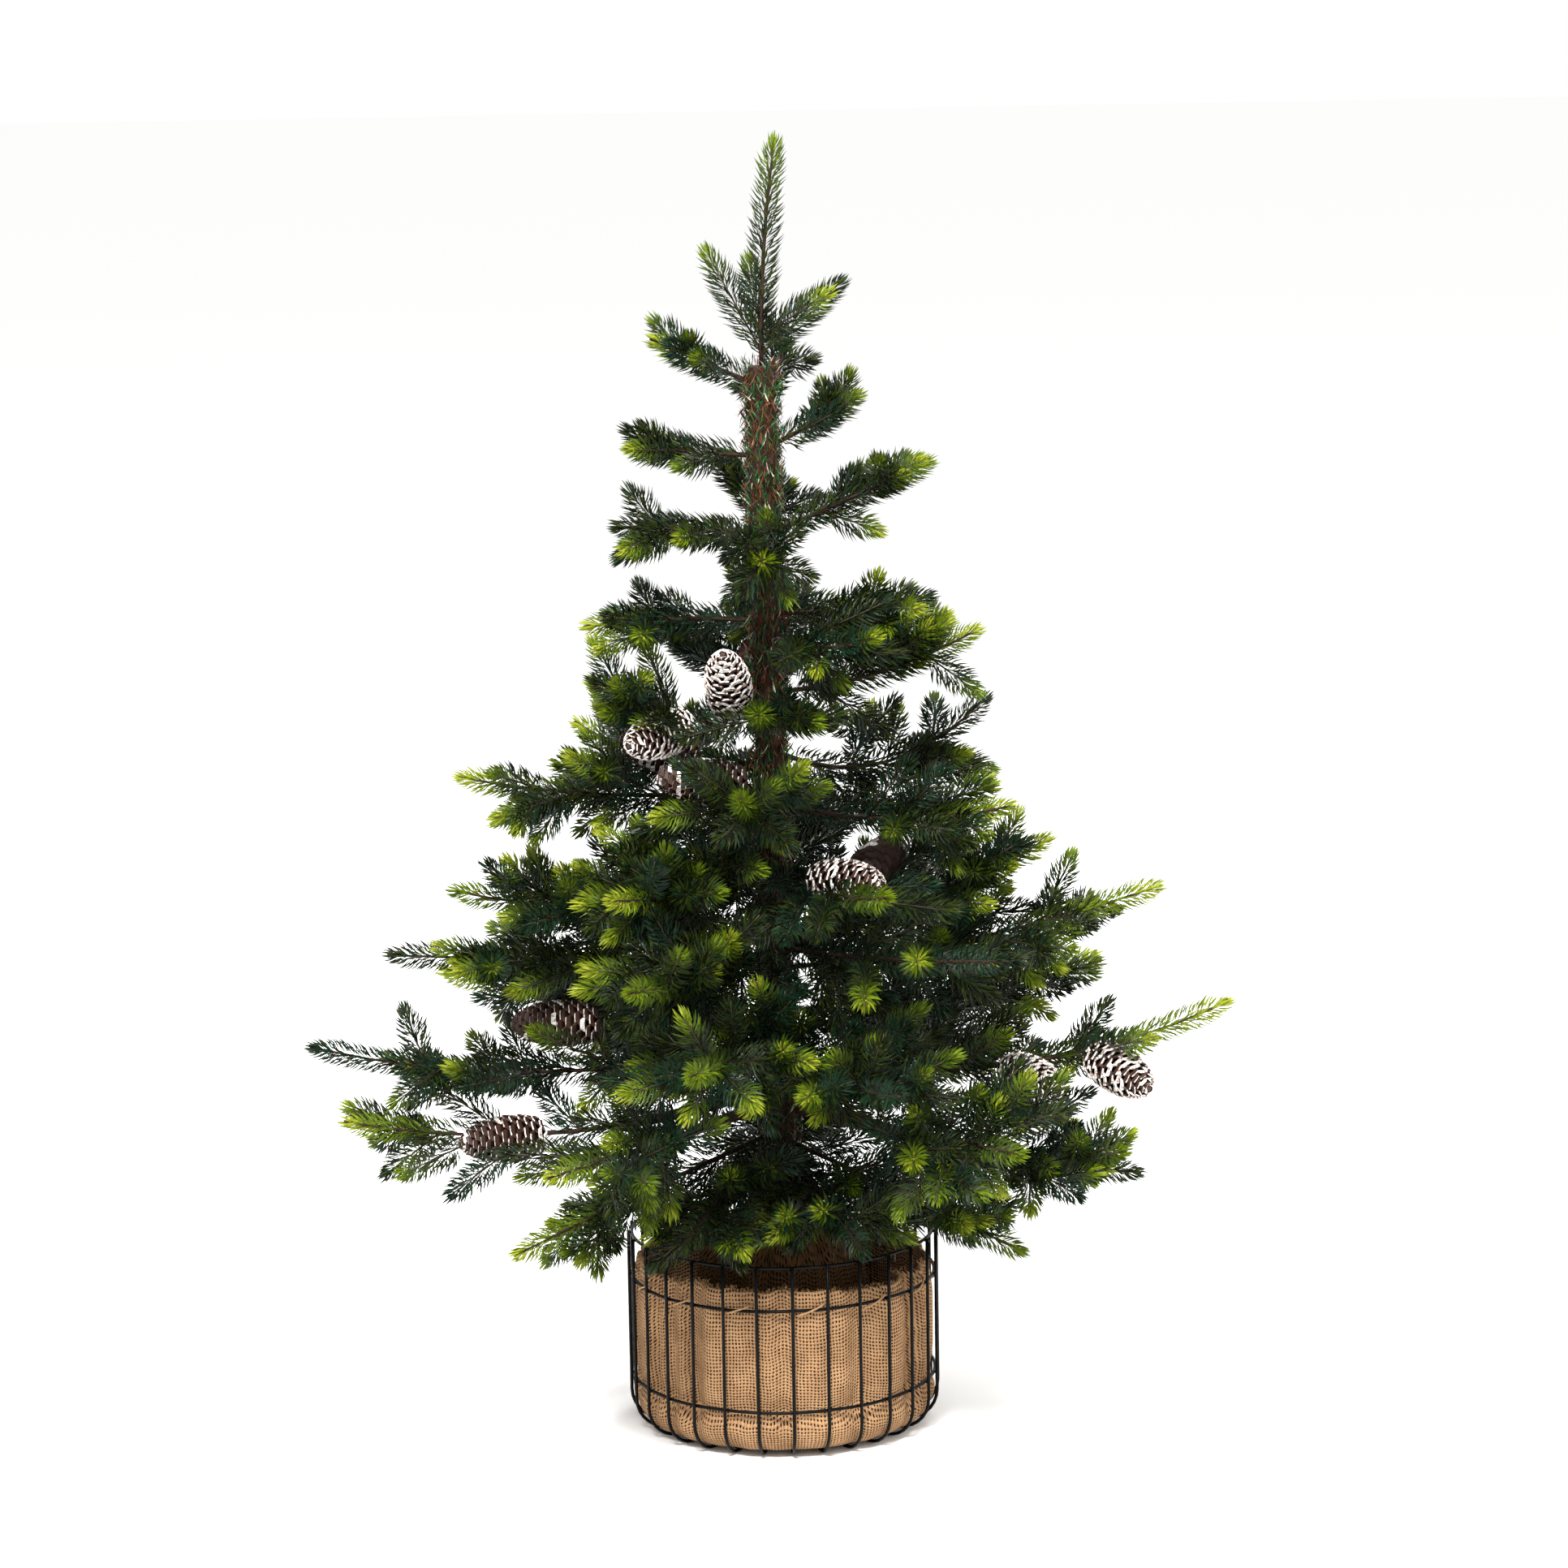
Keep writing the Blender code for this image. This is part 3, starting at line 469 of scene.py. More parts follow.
def count_threads(piece, threads, middle_radius, flat_below=None):
    """A UV map that counts threads: round the piece, and along its wall from the bottom."""
    mesh = piece.data
    points = np.array([v.co for v in mesh.vertices])
    for old in list(mesh.uv_layers):
        mesh.uv_layers.remove(old)
    uv = mesh.uv_layers.new(name="threads").data
    for face in mesh.polygons:
        around = [math.atan2(points[v][1], points[v][0]) / (2 * math.pi) for v in face.vertices]
        flat = abs(face.normal.z) > 0.9 and flat_below is not None and points[face.vertices[0]][2] < flat_below
        for corner, vertex, turn in zip(face.loop_indices, face.vertices, around):
            x, y, z = points[vertex]
            if flat:
                uv[corner].uv = (x / THREAD, y / THREAD)
                continue
            if turn < max(around) - 0.5:
                turn += 1.0
            along = z + (math.hypot(x, y) - middle_radius)
            uv[corner].uv = (turn * threads, along / THREAD)


count_threads(liner, LINER_THREADS, HELD_RADIUS, 0.004)
liner.select_set(True)
bpy.context.view_layer.objects.active = liner
wall = liner.modifiers.new("wall", "SOLIDIFY")
wall.thickness = CLOTH
wall.offset = -1.0
bpy.ops.object.modifier_apply(modifier="wall")
for face in liner.data.polygons:
    face.use_smooth = True
finish_piece(liner, "burlap_lining", "burlap", ["burlap_liner"], [burlap])

# %% [markdown]
# ## Wrapped weight
# A round weight in the basket holds the tree up. It is wrapped in older, browner burlap whose
# corners are gathered round the trunk, so folds run up over its shoulder and meet at the neck. It
# starts as a sphere, whose points are moved to the outline of the solid and then into folds that
# deepen towards the neck.

# %% Wrapped weight
BALL_RADIUS = 0.0610
BALL_THREADS = 160
NECK_HEIGHT = 0.168
ball_outline = np.array([(0.050, 0.0035), (0.0585, 0.010), (0.0605, 0.022), (0.0610, 0.060), (0.0600, 0.100),
                         (0.0555, 0.121), (0.0440, 0.138), (0.0300, 0.149), (0.0200, 0.1565),
                         (0.0165, 0.1625), (0.0205, NECK_HEIGHT + 0.004)])
start_fresh()
bpy.ops.mesh.primitive_uv_sphere_add(segments=120, ring_count=50, radius=BALL_RADIUS)
ball = bpy.context.object
folds_of_ball = random.Random(12)
ridges = [(k, folds_of_ball.uniform(0, 2 * math.pi), folds_of_ball.uniform(0.5, 1.0)) for k in (7, 11, 16, 23)]
coordinates = np.array([v.co for v in ball.data.vertices])
outline_steps = np.concatenate([[0.0], np.cumsum(np.hypot(*np.diff(ball_outline, axis=0).T))])
for index, (x, y, z) in enumerate(coordinates):
    polar = math.acos(max(-1.0, min(1.0, -z / BALL_RADIUS))) / math.pi
    around = math.atan2(y, x)
    along = polar * outline_steps[-1]
    radius = np.interp(along, outline_steps, ball_outline[:, 0])
    height = np.interp(along, outline_steps, ball_outline[:, 1])
    gathered = np.clip((height - 0.085) / 0.06, 0.0, 1.0)
    ridge = sum(size * math.cos(k * around + phase) for k, phase, size in ridges) / 2.4
    radius *= 1 + (0.015 + 0.16 * gathered ** 2) * ridge
    if math.hypot(x, y) < 0.0001:
        radius = 0.0
    coordinates[index] = (radius * math.cos(around), radius * math.sin(around),
                          height + 0.003 * gathered * math.sin(5 * around))
ball.data.vertices.foreach_set("co", coordinates.ravel())
count_threads(ball, BALL_THREADS, BALL_RADIUS)
for face in ball.data.polygons:
    face.use_smooth = True
finish_piece(ball, "burlap_wrapped_weight", "burlap", ["burlap_ball"], [old_burlap])

# %% [markdown]
# ## Blades
# Needles, tinsel and loose fibres are all the same form: a thin three-sided blade that is widest
# in its middle, bends once and ends in a point. There are tens of thousands, so they are not
# modelled one by one. One function makes all of a kind at once from arrays: where each starts,
# its first and its last direction, its length and its width. A blade is six triangles: it starts
# in a point, is a triangle before its middle and ends in a point, as a slim leaf does.

# %% Blades from arrays
BLADE_FACES = np.array(((0, 2, 1), (0, 3, 2), (0, 1, 3), (1, 2, 4), (2, 3, 4), (3, 1, 4)))
BLADE_WAIST = 0.58


def unit(vectors):
    """Vectors of length one."""
    return vectors / np.linalg.norm(vectors, axis=-1, keepdims=True)


def blades(name, roots, first, last, lengths, widths, tones, flatness=0.6):
    """Many bent, pointed blades as one object."""
    side = np.cross(first, last) + 1e-4 * np.cross(first, (0.3, 0.5, 0.81))
    side = unit(side)
    front = unit(np.cross(side, first))
    lengths = lengths[:, None]
    widths = widths[:, None] / 2
    waist = roots + first * lengths * BLADE_WAIST
    tip = waist + last * lengths * (1 - BLADE_WAIST)
    corners = [roots, waist + side * widths, waist - side * widths, waist + front * widths * 2 * flatness, tip]
    vertices = np.stack(corners, axis=1).reshape(-1, 3)
    offsets = np.arange(len(roots)) * len(corners)
    loops = (offsets[:, None, None] + BLADE_FACES[None]).ravel()
    starts = np.arange(0, len(loops), 3)
    return mesh_object(name, vertices, loops, starts, np.repeat(tones, len(BLADE_FACES)))


# %% [markdown]
# ## Lines of the crown
# The tree grows by the same rule as the solids: tiers of stems leave the pole, each bends up to
# its tip, and side twigs leave it by turns left and right, at seeded angles. The numbers are
# repeated here. Finer twigs then grow from the same stems and twigs, within the same reach.

# %% Growth rule
GAP = 0.0003
BALL_TOP = 0.1600
SOCKET_BOTTOM = 0.1000
TRUNK_TOP = 0.7450
TRUNK_FOOT_RADIUS = 0.0115
TRUNK_TOP_RADIUS = 0.0095
TRUNK_LEAN = -0.0040
TREE_TOP = 0.8990
LEADER_SWAY = 0.0080
BOUGH_SHARE = 0.36
BOUGH_TIER = "11"
SIDE_FIRST = 0.24
SIDE_LAST = 0.66
SIDE_SHIFT = 0.03
SIDE_ANGLE = (32.0, 50.0)
SIDE_LIFT = (-20.0, 52.0)
SIDE_SIZE = (0.88, 1.10)
SIDE_AT_ROOT = 1.15
SIDE_TAPER = 0.42
STEM_BARE = 0.05
CONE_LENGTH = 0.0620
CONE_RADIUS = 0.0170
CONE_STALK = 0.0120

TIERS = {
    "02": (1, 0.046, (
        ("left", 186, 0.735, 0.076, 0.765, 25, 12),
        ("back", 75, 0.722, 0.075, 0.757, 30, 261),
    )),
    "03": (2, 0.054, (
        ("left", 176, 0.684, 0.094, 0.690, 5, 174),
        ("right", 20, 0.692, 0.070, 0.724, 35, 154),
    )),
    "04": (2, 0.062, (
        ("left", 183, 0.632, 0.105, 0.637, 4, 104),
        ("right", 8, 0.632, 0.118, 0.676, 22, 159),
        ("front", 268, 0.620, 0.085, 0.622, 14, 184),
        ("back", 95, 0.625, 0.100, 0.655, 20, 29),
    )),
    "05": (3, 0.068, (
        ("left", 174, 0.570, 0.128, 0.566, -8, 252),
        ("right", 350, 0.575, 0.116, 0.588, 15, 252),
        ("front_right", 300, 0.562, 0.112, 0.565, 12, 173),
        ("back", 85, 0.560, 0.120, 0.585, 15, 136),
    )),
    "06": (3, 0.072, (
        ("right", 5, 0.520, 0.148, 0.560, 28, 234),
        ("left", 196, 0.505, 0.128, 0.535, 38, 142),
        ("front", 266, 0.500, 0.115, 0.522, 10, 60),
        ("back", 110, 0.515, 0.135, 0.540, 20, 72),
    )),
    "07": (3, 0.080, (
        ("left", 178, 0.452, 0.218, 0.463, 12, 186),
        ("back_left", 138, 0.470, 0.190, 0.482, 20, 66),
        ("back_right", 38, 0.475, 0.200, 0.496, 34, 186),
        ("right", 345, 0.440, 0.172, 0.445, 15, 243),
        ("front", 262, 0.455, 0.150, 0.472, 26, 85),
    )),
    "08": (4, 0.084, (
        ("left", 185, 0.385, 0.224, 0.388, 15, 119),
        ("right", 4, 0.375, 0.195, 0.412, 32, 173),
        ("front_left", 235, 0.390, 0.190, 0.405, 10, 184),
        ("front_right", 295, 0.395, 0.180, 0.405, 12, 166),
        ("back", 90, 0.390, 0.200, 0.410, 15, 155),
    )),
    "09": (4, 0.088, (
        ("left", 182, 0.335, 0.270, 0.341, 4, 14),
        ("right", 3, 0.325, 0.272, 0.376, 18, 57),
        ("front_left", 246, 0.335, 0.235, 0.355, 8, 122),
        ("front_right", 310, 0.340, 0.235, 0.365, 10, 136),
        ("back_left", 125, 0.340, 0.250, 0.355, 8, 115),
        ("back_right", 60, 0.335, 0.250, 0.360, 10, 173),
    )),
    "10": (4, 0.090, (
        ("left", 183, 0.272, 0.326, 0.278, 15, 68),
        ("right", 356, 0.262, 0.316, 0.300, 25, 136),
        ("front_left", 258, 0.285, 0.265, 0.310, 10, 68),
        ("front_right", 288, 0.280, 0.255, 0.290, 12, 15),
        ("back_left", 148, 0.285, 0.290, 0.295, 8, 138),
        ("back_right", 35, 0.280, 0.290, 0.295, 8, 199),
    )),
    "11": (4, 0.088, (
        ("left", 190, 0.238, 0.305, 0.233, 14, 25),
        ("right", 350, 0.225, 0.255, 0.184, -4, 173),
        ("front_left", 236, 0.230, 0.270, 0.235, 2, 119),
        ("front_right", 308, 0.235, 0.260, 0.240, 4, 21),
        ("back_left", 118, 0.230, 0.280, 0.225, -2, 90),
        ("back_right", 64, 0.230, 0.275, 0.225, -2, 136),
    )),
    "12": (3, 0.074, (
        ("left", 203, 0.205, 0.200, 0.142, -20, 186),
        ("right", 335, 0.200, 0.185, 0.138, -20, 255),
        ("front_left", 247, 0.205, 0.175, 0.168, -14, 186),
        ("front_right", 290, 0.200, 0.165, 0.160, -16, 173),
        ("back", 90, 0.198, 0.190, 0.155, -12, 3),
    )),
}
LEADER_TWIGS = (
    (180, 62, 0.080, 0.010),
    (8, 40, 0.076, 0.008),
    (335, 30, 0.062, 0.020),
    (100, 48, 0.068, 0.022),
)
CONES = (
    ("11_left", 0.50, 202, 0, 0.000),
    ("10_left", 0.33, 186, 2, 0.032),
    ("06_left", 0.12, 262, 48, 0.000),
    ("06_left", 0.34, 230, -6, 0.000),
    ("08_front_right", 0.24, 318, 4, 0.003),
    ("08_right", 0.22, 55, 18, 0.010),
    ("10_right", 0.66, 305, -12, 0.000),
    ("10_right", 0.47, 300, -4, 0.000),
    ("07_front", 0.30, 184, 8, 0.012),
    ("07_back_left", 0.22, 178, 16, 0.000),
    ("06_back", 0.34, 60, 30, 0.000),
    ("09_back_right", 0.46, 30, 4, 0.000),
    ("10_back_left", 0.48, 110, 6, 0.000),
)


def direction(azimuth, rise):
    """Unit vector at an azimuth and a rise, both in radians."""
    level = math.cos(rise)
    return np.array([level * math.cos(azimuth), level * math.sin(azimuth), math.sin(rise)])


def trunk_radius(height):
    """Radius of the tapering pole."""
    share = (height - SOCKET_BOTTOM) / (TRUNK_TOP - SOCKET_BOTTOM)
    return TRUNK_FOOT_RADIUS + (TRUNK_TOP_RADIUS - TRUNK_FOOT_RADIUS) * share


def trunk_middle(height):
    """Middle of the leaning pole."""
    return np.array([TRUNK_LEAN * height / TRUNK_TOP, 0.0, height])


def bend(start, middle, end, count):
    """Points along a quadratic Bezier curve."""
    t = np.linspace(0.0, 1.0, count)[:, None]
    return (1 - t) ** 2 * start + 2 * t * (1 - t) * middle + t * t * end


def branch_curve(azimuth, root, reach, tip, rise, count=9):
    """A branch from the trunk's skin to its tip, which rises at the given angle."""
    around = math.radians(azimuth)
    lift = math.radians(rise)
    level = direction(around, 0.0)
    skin = trunk_radius(root) + GAP
    start = trunk_middle(root) + level * skin
    end = trunk_middle(root) + level * reach
    end[2] = tip
    middle = end - direction(around, lift) * 0.5 * (reach - skin) / math.cos(lift)
    return bend(start, middle, end, count)


def lengths_along(points):
    """Distance from the first point to each."""
    steps = np.linalg.norm(np.diff(points, axis=0), axis=1)
    return np.concatenate([[0.0], np.cumsum(steps)])


def point_at(points, distance):
    """Point and unit direction at a distance along a line of points."""
    lengths = lengths_along(points)
    distance = min(max(distance, 0.0), lengths[-1])
    index = min(int(np.searchsorted(lengths, distance, side="right")) - 1, len(points) - 2)
    step = points[index + 1] - points[index]
    size = lengths[index + 1] - lengths[index]
    return points[index] + step * (distance - lengths[index]) / size, step / size


def part_of(points, start, end, count=7):
    """The stretch of a line between two distances."""
    return np.array([point_at(points, d)[0] for d in np.linspace(start, end, count)])


def cross_axes(heading):
    """Two unit vectors across a heading, the second as upright as it can be."""
    across = np.cross([0.0, 0.0, 1.0], heading)
    if np.linalg.norm(across) < 0.05:
        across = np.cross([0.0, 1.0, 0.0], heading)
    across = across / np.linalg.norm(across)
    return across, np.cross(heading, across)


def leaving(line, share, sign, angle, lift, size):
    """A straight twig that leaves a line at a share of its length, to one side and up or down."""
    root, heading = point_at(line, share * lengths_along(line)[-1])
    across, upright = cross_axes(heading)
    out = across * sign * math.cos(lift) + upright * math.sin(lift)
    aim = heading * math.cos(angle) + out * math.sin(angle)
    return np.array([root, root + aim * size / 2, root + aim * size])


def side_twigs(stem, count, length, picker):
    """Side twigs by a seeded rule: by turns left and right, shorter towards the tip."""
    sign = picker.choice((-1, 1))
    for index in range(count):
        share = SIDE_FIRST + (SIDE_LAST - SIDE_FIRST) * (index + 0.5) / count
        share += picker.uniform(-SIDE_SHIFT, SIDE_SHIFT)
        angle = math.radians(picker.uniform(*SIDE_ANGLE))
        lift = math.radians(picker.uniform(*SIDE_LIFT))
        size = length * (SIDE_AT_ROOT - SIDE_TAPER * share) * picker.uniform(*SIDE_SIZE)
        yield leaving(stem, share, sign, angle, lift, size)
        sign = -sign


# %% Grow the stems, twigs and cones
stems = {}
top = trunk_middle(TRUNK_TOP)
knee = top + np.array([0.0, 0.0, (TREE_TOP - TRUNK_TOP) / 2])
stems["01_leader"] = bend(top + np.array([0.0, 0.0, GAP]), knee, np.array([LEADER_SWAY, 0.0, TREE_TOP]), 7)
for tier, (_, _, branches) in TIERS.items():
    for place, *sizes, _ in branches:
        stems[f"{tier}_{place}"] = branch_curve(*sizes)
cones = []
for name, share, azimuth, rise, climb in CONES:
    root = point_at(stems[name], share * lengths_along(stems[name])[-1])[0]
    aim = direction(math.radians(azimuth), math.radians(rise))
    cones.append((root, root + aim * CONE_STALK + np.array([0.0, 0.0, climb]), aim))
boughs = {}
for place, *_ in TIERS[BOUGH_TIER][2]:
    name = f"{BOUGH_TIER}_{place}"
    whole = stems[name]
    total = lengths_along(whole)[-1]
    boughs[name] = part_of(whole, 0.0, total * BOUGH_SHARE, 9)
    stems[name] = part_of(whole, total * BOUGH_SHARE + GAP, total)
twigs = {"01_leader": []}
for azimuth, rise, length, height in LEADER_TWIGS:
    root = point_at(stems["01_leader"], height)[0]
    aim = direction(math.radians(azimuth), math.radians(rise))
    twigs["01_leader"].append(np.array([root, root + aim * length / 2, root + aim * length]))
pickers = {"01_leader": random.Random(0)}
for tier, (count, length, branches) in TIERS.items():
    for place, *_, seed in branches:
        name = f"{tier}_{place}"
        pickers[name] = random.Random(seed)
        twigs[name] = list(side_twigs(stems[name], count, length, pickers[name]))
print(len(stems), "stems,", sum(len(t) for t in twigs.values()), "side twigs,", len(cones), "cones")

# %% [markdown]
# ## Finer twigs
# A mass of the real tree has more tips than the solids have room for. So the same rule goes on:
# each picker that set out a stem's side twigs now sets out finer ones on all sides of the stem,
# up and down as well, and two on every side twig. They are shorter than what carries them and
# shorten towards the tip. So the crown fills up inside and keeps its outline and its gaps of sky.

# %% Finer twigs
FINE_FIRST = 0.06
FINE_SPAN = 0.70
FINE_ANGLE = (38, 66)
FINE_LIFT = (-65, 85)
FINE_SIZE = (0.070, 0.030)
FINE_COUNTS = {"02": 2, "03": 3, "04": 5, "05": 6, "06": 8, "07": 11, "08": 15, "09": 17, "10": 15, "11": 12,
               "12": 10}
SPARSE_TIERS = ("02", "03", "04", "05")
SPARSE_SCALE = 0.72
BARE_CONES = (0, 1, 2, 4, 5, 6)
SIGHT_MARGIN = 0.010
FACING = np.array(Matrix.Rotation(CAMERA_PITCH, 3, "X"))
END_SHARES = (0.30, 0.55)
END_ANGLE = (32, 48)
END_LIFT = (-40, 60)


def finer_twigs(stem, side, tier, picker):
    """Fine twigs round a stem, then on its side twigs."""
    sign = picker.choice((-1, 1))
    for index in range(FINE_COUNTS[tier]):
        share = FINE_FIRST + FINE_SPAN * (index + 0.5) / FINE_COUNTS[tier] + picker.uniform(-0.03, 0.03)
        angle = math.radians(picker.uniform(*FINE_ANGLE))
        lift = math.radians(picker.uniform(*FINE_LIFT))
        size = (FINE_SIZE[0] - FINE_SIZE[1] * share) * picker.uniform(0.85, 1.12)
        if tier in SPARSE_TIERS:
            size *= SPARSE_SCALE
        yield leaving(stem, share, sign, angle, lift, size)
        sign = -sign
    for twig in side:
        length = lengths_along(twig)[-1]
        sign = picker.choice((-1, 1))
        for share in END_SHARES if tier not in SPARSE_TIERS else END_SHARES[:1]:
            angle = math.radians(picker.uniform(*END_ANGLE))
            lift = math.radians(picker.uniform(*END_LIFT))
            size = length * (0.78 - 0.5 * share) * picker.uniform(0.85, 1.1)
            yield leaving(twig, share, sign, angle, lift, size)
            sign = -sign


def hides_cone(twig):
    """Whether a twig would pass through a bare cone, or close before it."""
    spots = part_of(twig, 0.0, lengths_along(twig)[-1])
    for _, foot, aim in (cones[index] for index in BARE_CONES):
        ahead = (spots - foot) @ FACING
        seen = aim @ FACING
        length = CONE_LENGTH * math.hypot(seen[0], seen[2])
        seen = unit(np.array([seen[0], 0.0, seen[2]]))
        along = ahead @ seen
        away = np.abs(ahead @ np.array([-seen[2], 0.0, seen[0]]))
        before = (ahead[:, 1] < CONE_RADIUS) & (away < CONE_RADIUS + SIGHT_MARGIN)
        before &= (along > -SIGHT_MARGIN) & (along < length + SIGHT_MARGIN)
        if before.any():
            return True
    return False


fine_twigs = {"01_leader": []}
for name in stems:
    if name != "01_leader":
        grown = finer_twigs(stems[name], twigs[name], name[:2], pickers[name])
        fine_twigs[name] = [twig for twig in grown if not hides_cone(twig)]
print(sum(len(t) for t in fine_twigs.values()), "finer twigs")

# %% [markdown]
# ## Needle colours
# The sprays are moulded polyethylene, blue-green at heart, and the last part of many is sprayed
# or moulded in a fresh yellow-green, as new growth on a spruce is. Polyethylene has a waxy,
# half-gloss skin. A pattern would be lost on needles a millimetre wide, so each tone is a plain
# colour of its own, and the tones are dealt out by spray and by place along it. Sprays inside the
# crown are given the fresh tones more rarely and stay dark, as painted shade.

# %% Needle tones
NEEDLE_TONES = (
    ("deep_green_polyethylene", "#0c1303"),
    ("spruce_green_polyethylene", "#122c1a"),
    ("leaf_green_polyethylene", "#263205"),
    ("olive_polyethylene", "#394a08"),
    ("lime_polyethylene", "#5b6d0c"),
    ("pale_lime_polyethylene", "#868f22"),
)
needle_finishes = []
for name, hex_colour in NEEDLE_TONES:
    finish, _, _ = new_material(name, {"Base Color": linear(hex_colour), "Roughness": 0.45, "IOR": 1.51,
                                       "Specular IOR Level": 0.20})
    needle_finishes.append(finish)

# %% [markdown]
# ## Needles
# Along each spray the needles follow a spiral of the golden angle, as leaves on a real shoot do,
# so they never line up and stand evenly on all sides. They leave the stem at about sixty degrees,
# bend forward, and grow shorter and more forward to the tip, which gives the blunt, brush-like
# end of the sprays in the photograph. A needle that would touch the pole, a cone or the pot is
# left out.

# %% Needles
NEEDLES_PER_METRE = 2150
NEEDLE_LENGTH = 0.0176
NEEDLE_WIDTH = 0.00155
TIP_INSET = 0.0060
GOLDEN_TURN = math.pi * (3 - math.sqrt(5))
FRESH_STEPS = {"fresh": (0.52, (0.22, 0.50, 0.86)), "mild": (0.60, (0.34, 0.80, 2.0))}
DARK_SHARES = ((0.34, 0.58, 0.08), (0.44, 0.14, 0.42), (0.50, 0.10, 0.40))
FRESHEST = 0.40
CROWN_HEIGHTS = (0.14, 0.28, 0.45, 0.65, 0.80)
CROWN_REACHES = (0.20, 0.28, 0.20, 0.11, 0.05)


def along_line(points, distances):
    """Points and smooth headings at many distances along a line."""
    lengths = lengths_along(points)
    spots = np.stack([np.interp(distances, lengths, points[:, i]) for i in range(3)], axis=1)
    headings = unit(np.diff(points, axis=0))
    middles = (lengths[:-1] + lengths[1:]) / 2
    smooth = np.stack([np.interp(distances, middles, headings[:, i]) for i in range(3)], axis=1)
    return spots, unit(smooth)


def axes_across(headings):
    """cross_axes for many headings."""
    across = np.cross([0.0, 0.0, 1.0], headings)
    steep = np.linalg.norm(across, axis=1) < 0.05
    across[steep] = np.cross([0.0, 1.0, 0.0], headings[steep])
    across = unit(across)
    return across, np.cross(headings, across)


def spray_needles(line, bare_share, chance, kind):
    """Roots, directions, lengths and tones of one spray's needles."""
    total = lengths_along(line)[-1] - TIP_INSET
    start = total * bare_share
    count = int((total - start) * NEEDLES_PER_METRE) + 26
    share = (np.arange(count) + 0.5) / count
    share = 1 - (1 - share) ** 1.08
    spots, headings = along_line(line, start + (total - start) * share)
    across, upright = axes_across(headings)
    turn = np.arange(count) * GOLDEN_TURN + chance.uniform(-0.35, 0.35, count) + chance.uniform(0, 6.28)
    out = across * np.cos(turn)[:, None] + upright * np.sin(turn)[:, None]
    to_tip = (total - start) * (1 - share)
    tipped = np.clip(1 - to_tip / 0.016, 0.0, 1.0)
    lean = np.radians(60 - 5 * share - 36 * tipped ** 1.6) + chance.normal(0, 0.06, count)
    forward = lean - np.radians(20)
    first = headings * np.cos(lean)[:, None] + out * np.sin(lean)[:, None]
    last = headings * np.cos(forward)[:, None] + out * np.sin(forward)[:, None]
    length = NEEDLE_LENGTH * (0.86 + 0.14 * np.sin(np.pi * np.clip(share * 1.3, 0, 1)))
    length = length * (1 - 0.22 * tipped) * chance.uniform(0.92, 1.07, count)
    tones = spray_tones(share, kind, chance)
    return spots + out * 0.0006, first, last, length, tones


def spray_tones(share, kind, chance):
    """Which colour each needle gets: dark, then by steps the fresh growth of the spray's kind."""
    count = len(share)
    dark = chance.choice(3, size=count, p=DARK_SHARES[chance.randint(len(DARK_SHARES))])
    if kind == "dark":
        return dark
    begin, steps = FRESH_STEPS[kind]
    level = (share - begin) / (1 - begin) + chance.normal(0, 0.09, count)
    return np.where(level < 0, dark, 2 + np.searchsorted(steps, np.maximum(level, 0)))


def kind_of(line, chance):
    """Fresh tips go mostly to the outermost sprays, as new growth; sprays inside the crown stay dark as painted shade.
    """
    tip = line[-1]
    outness = math.hypot(tip[0], tip[1]) / np.interp(tip[2], CROWN_HEIGHTS, CROWN_REACHES)
    if tip[2] > TRUNK_TOP:
        outness = 1.0
    # Painted shade: the further inside the crown a spray ends, the likelier it is dark all through.
    fresh = FRESHEST * min(max((outness - 0.42) / 0.45, 0.0), 1.0)
    return chance.choice(["fresh", "mild", "dark"], p=[fresh, 0.28, 0.72 - fresh])


def clear_of_limbs(points):
    """Which points lie outside the pole, the cones, the basket and the wrapped weight."""
    radius = np.hypot(points[:, 0], points[:, 1])
    kept = ~((radius < BASKET_RADIUS + WIRE) & (points[:, 2] < RIM_HEIGHT + WIRE))
    kept &= ~((radius < BALL_RADIUS + 0.001) & (points[:, 2] < BALL_TOP))
    middle = TRUNK_LEAN * points[:, 2] / TRUNK_TOP
    on_pole = (np.hypot(points[:, 0] - middle, points[:, 1]) < TRUNK_FOOT_RADIUS) & (points[:, 2] < TRUNK_TOP)
    kept &= ~on_pole
    for _, foot, aim in cones:
        along = (points - foot) @ aim
        away = np.linalg.norm(points - foot - np.outer(along, aim), axis=1)
        kept &= ~((along > -0.002) & (along < CONE_LENGTH) & (away < CONE_RADIUS * 0.95))
    return kept


REGIONS = {
    "top": ("01", "02", "03", "04", "05", "06"),
    "middle": ("07", "08"),
    "waist": ("09",),
    "wide": ("10",),
    "skirt": ("11", "12"),
}
needle_total = 0
for region, tiers in REGIONS.items():
    gathered = []
    names = [name for name in stems if name[:2] in tiers]
    for name in names:
        number = list(stems).index(name)
        chance = np.random.RandomState(4000 + number)
        lines = [(stems[name], STEM_BARE)]
        lines += [(line, 0.10) for line in twigs[name]]
        lines += [(line, 0.10) for line in fine_twigs[name]]
        for line, bare_share in lines:
            gathered.append(spray_needles(line, bare_share, chance, kind_of(line, chance)))
    roots, first, last, lengths, tones = (np.concatenate(part) for part in zip(*gathered))
    tips = roots + (first + last) * lengths[:, None] / 2
    kept = clear_of_limbs(tips) & clear_of_limbs(roots + first * lengths[:, None] / 2)
    widths = np.full(len(roots), NEEDLE_WIDTH)
    nodes = ["foliage_" + name for name in names]
    for title, slot, low, high in (("needles", "needles", 0, 2), ("needle_tips", "needle_tips", 3, 5)):
        chosen = kept & (tones >= low) & (tones <= high)
        piece = blades(f"{title}_{region}", roots[chosen], first[chosen], last[chosen], lengths[chosen],
                       widths[chosen], tones[chosen] - low)
        finish_piece(piece, f"{title}_{region}", slot, nodes, needle_finishes[low:high + 1])
        needle_total += int(chosen.sum())
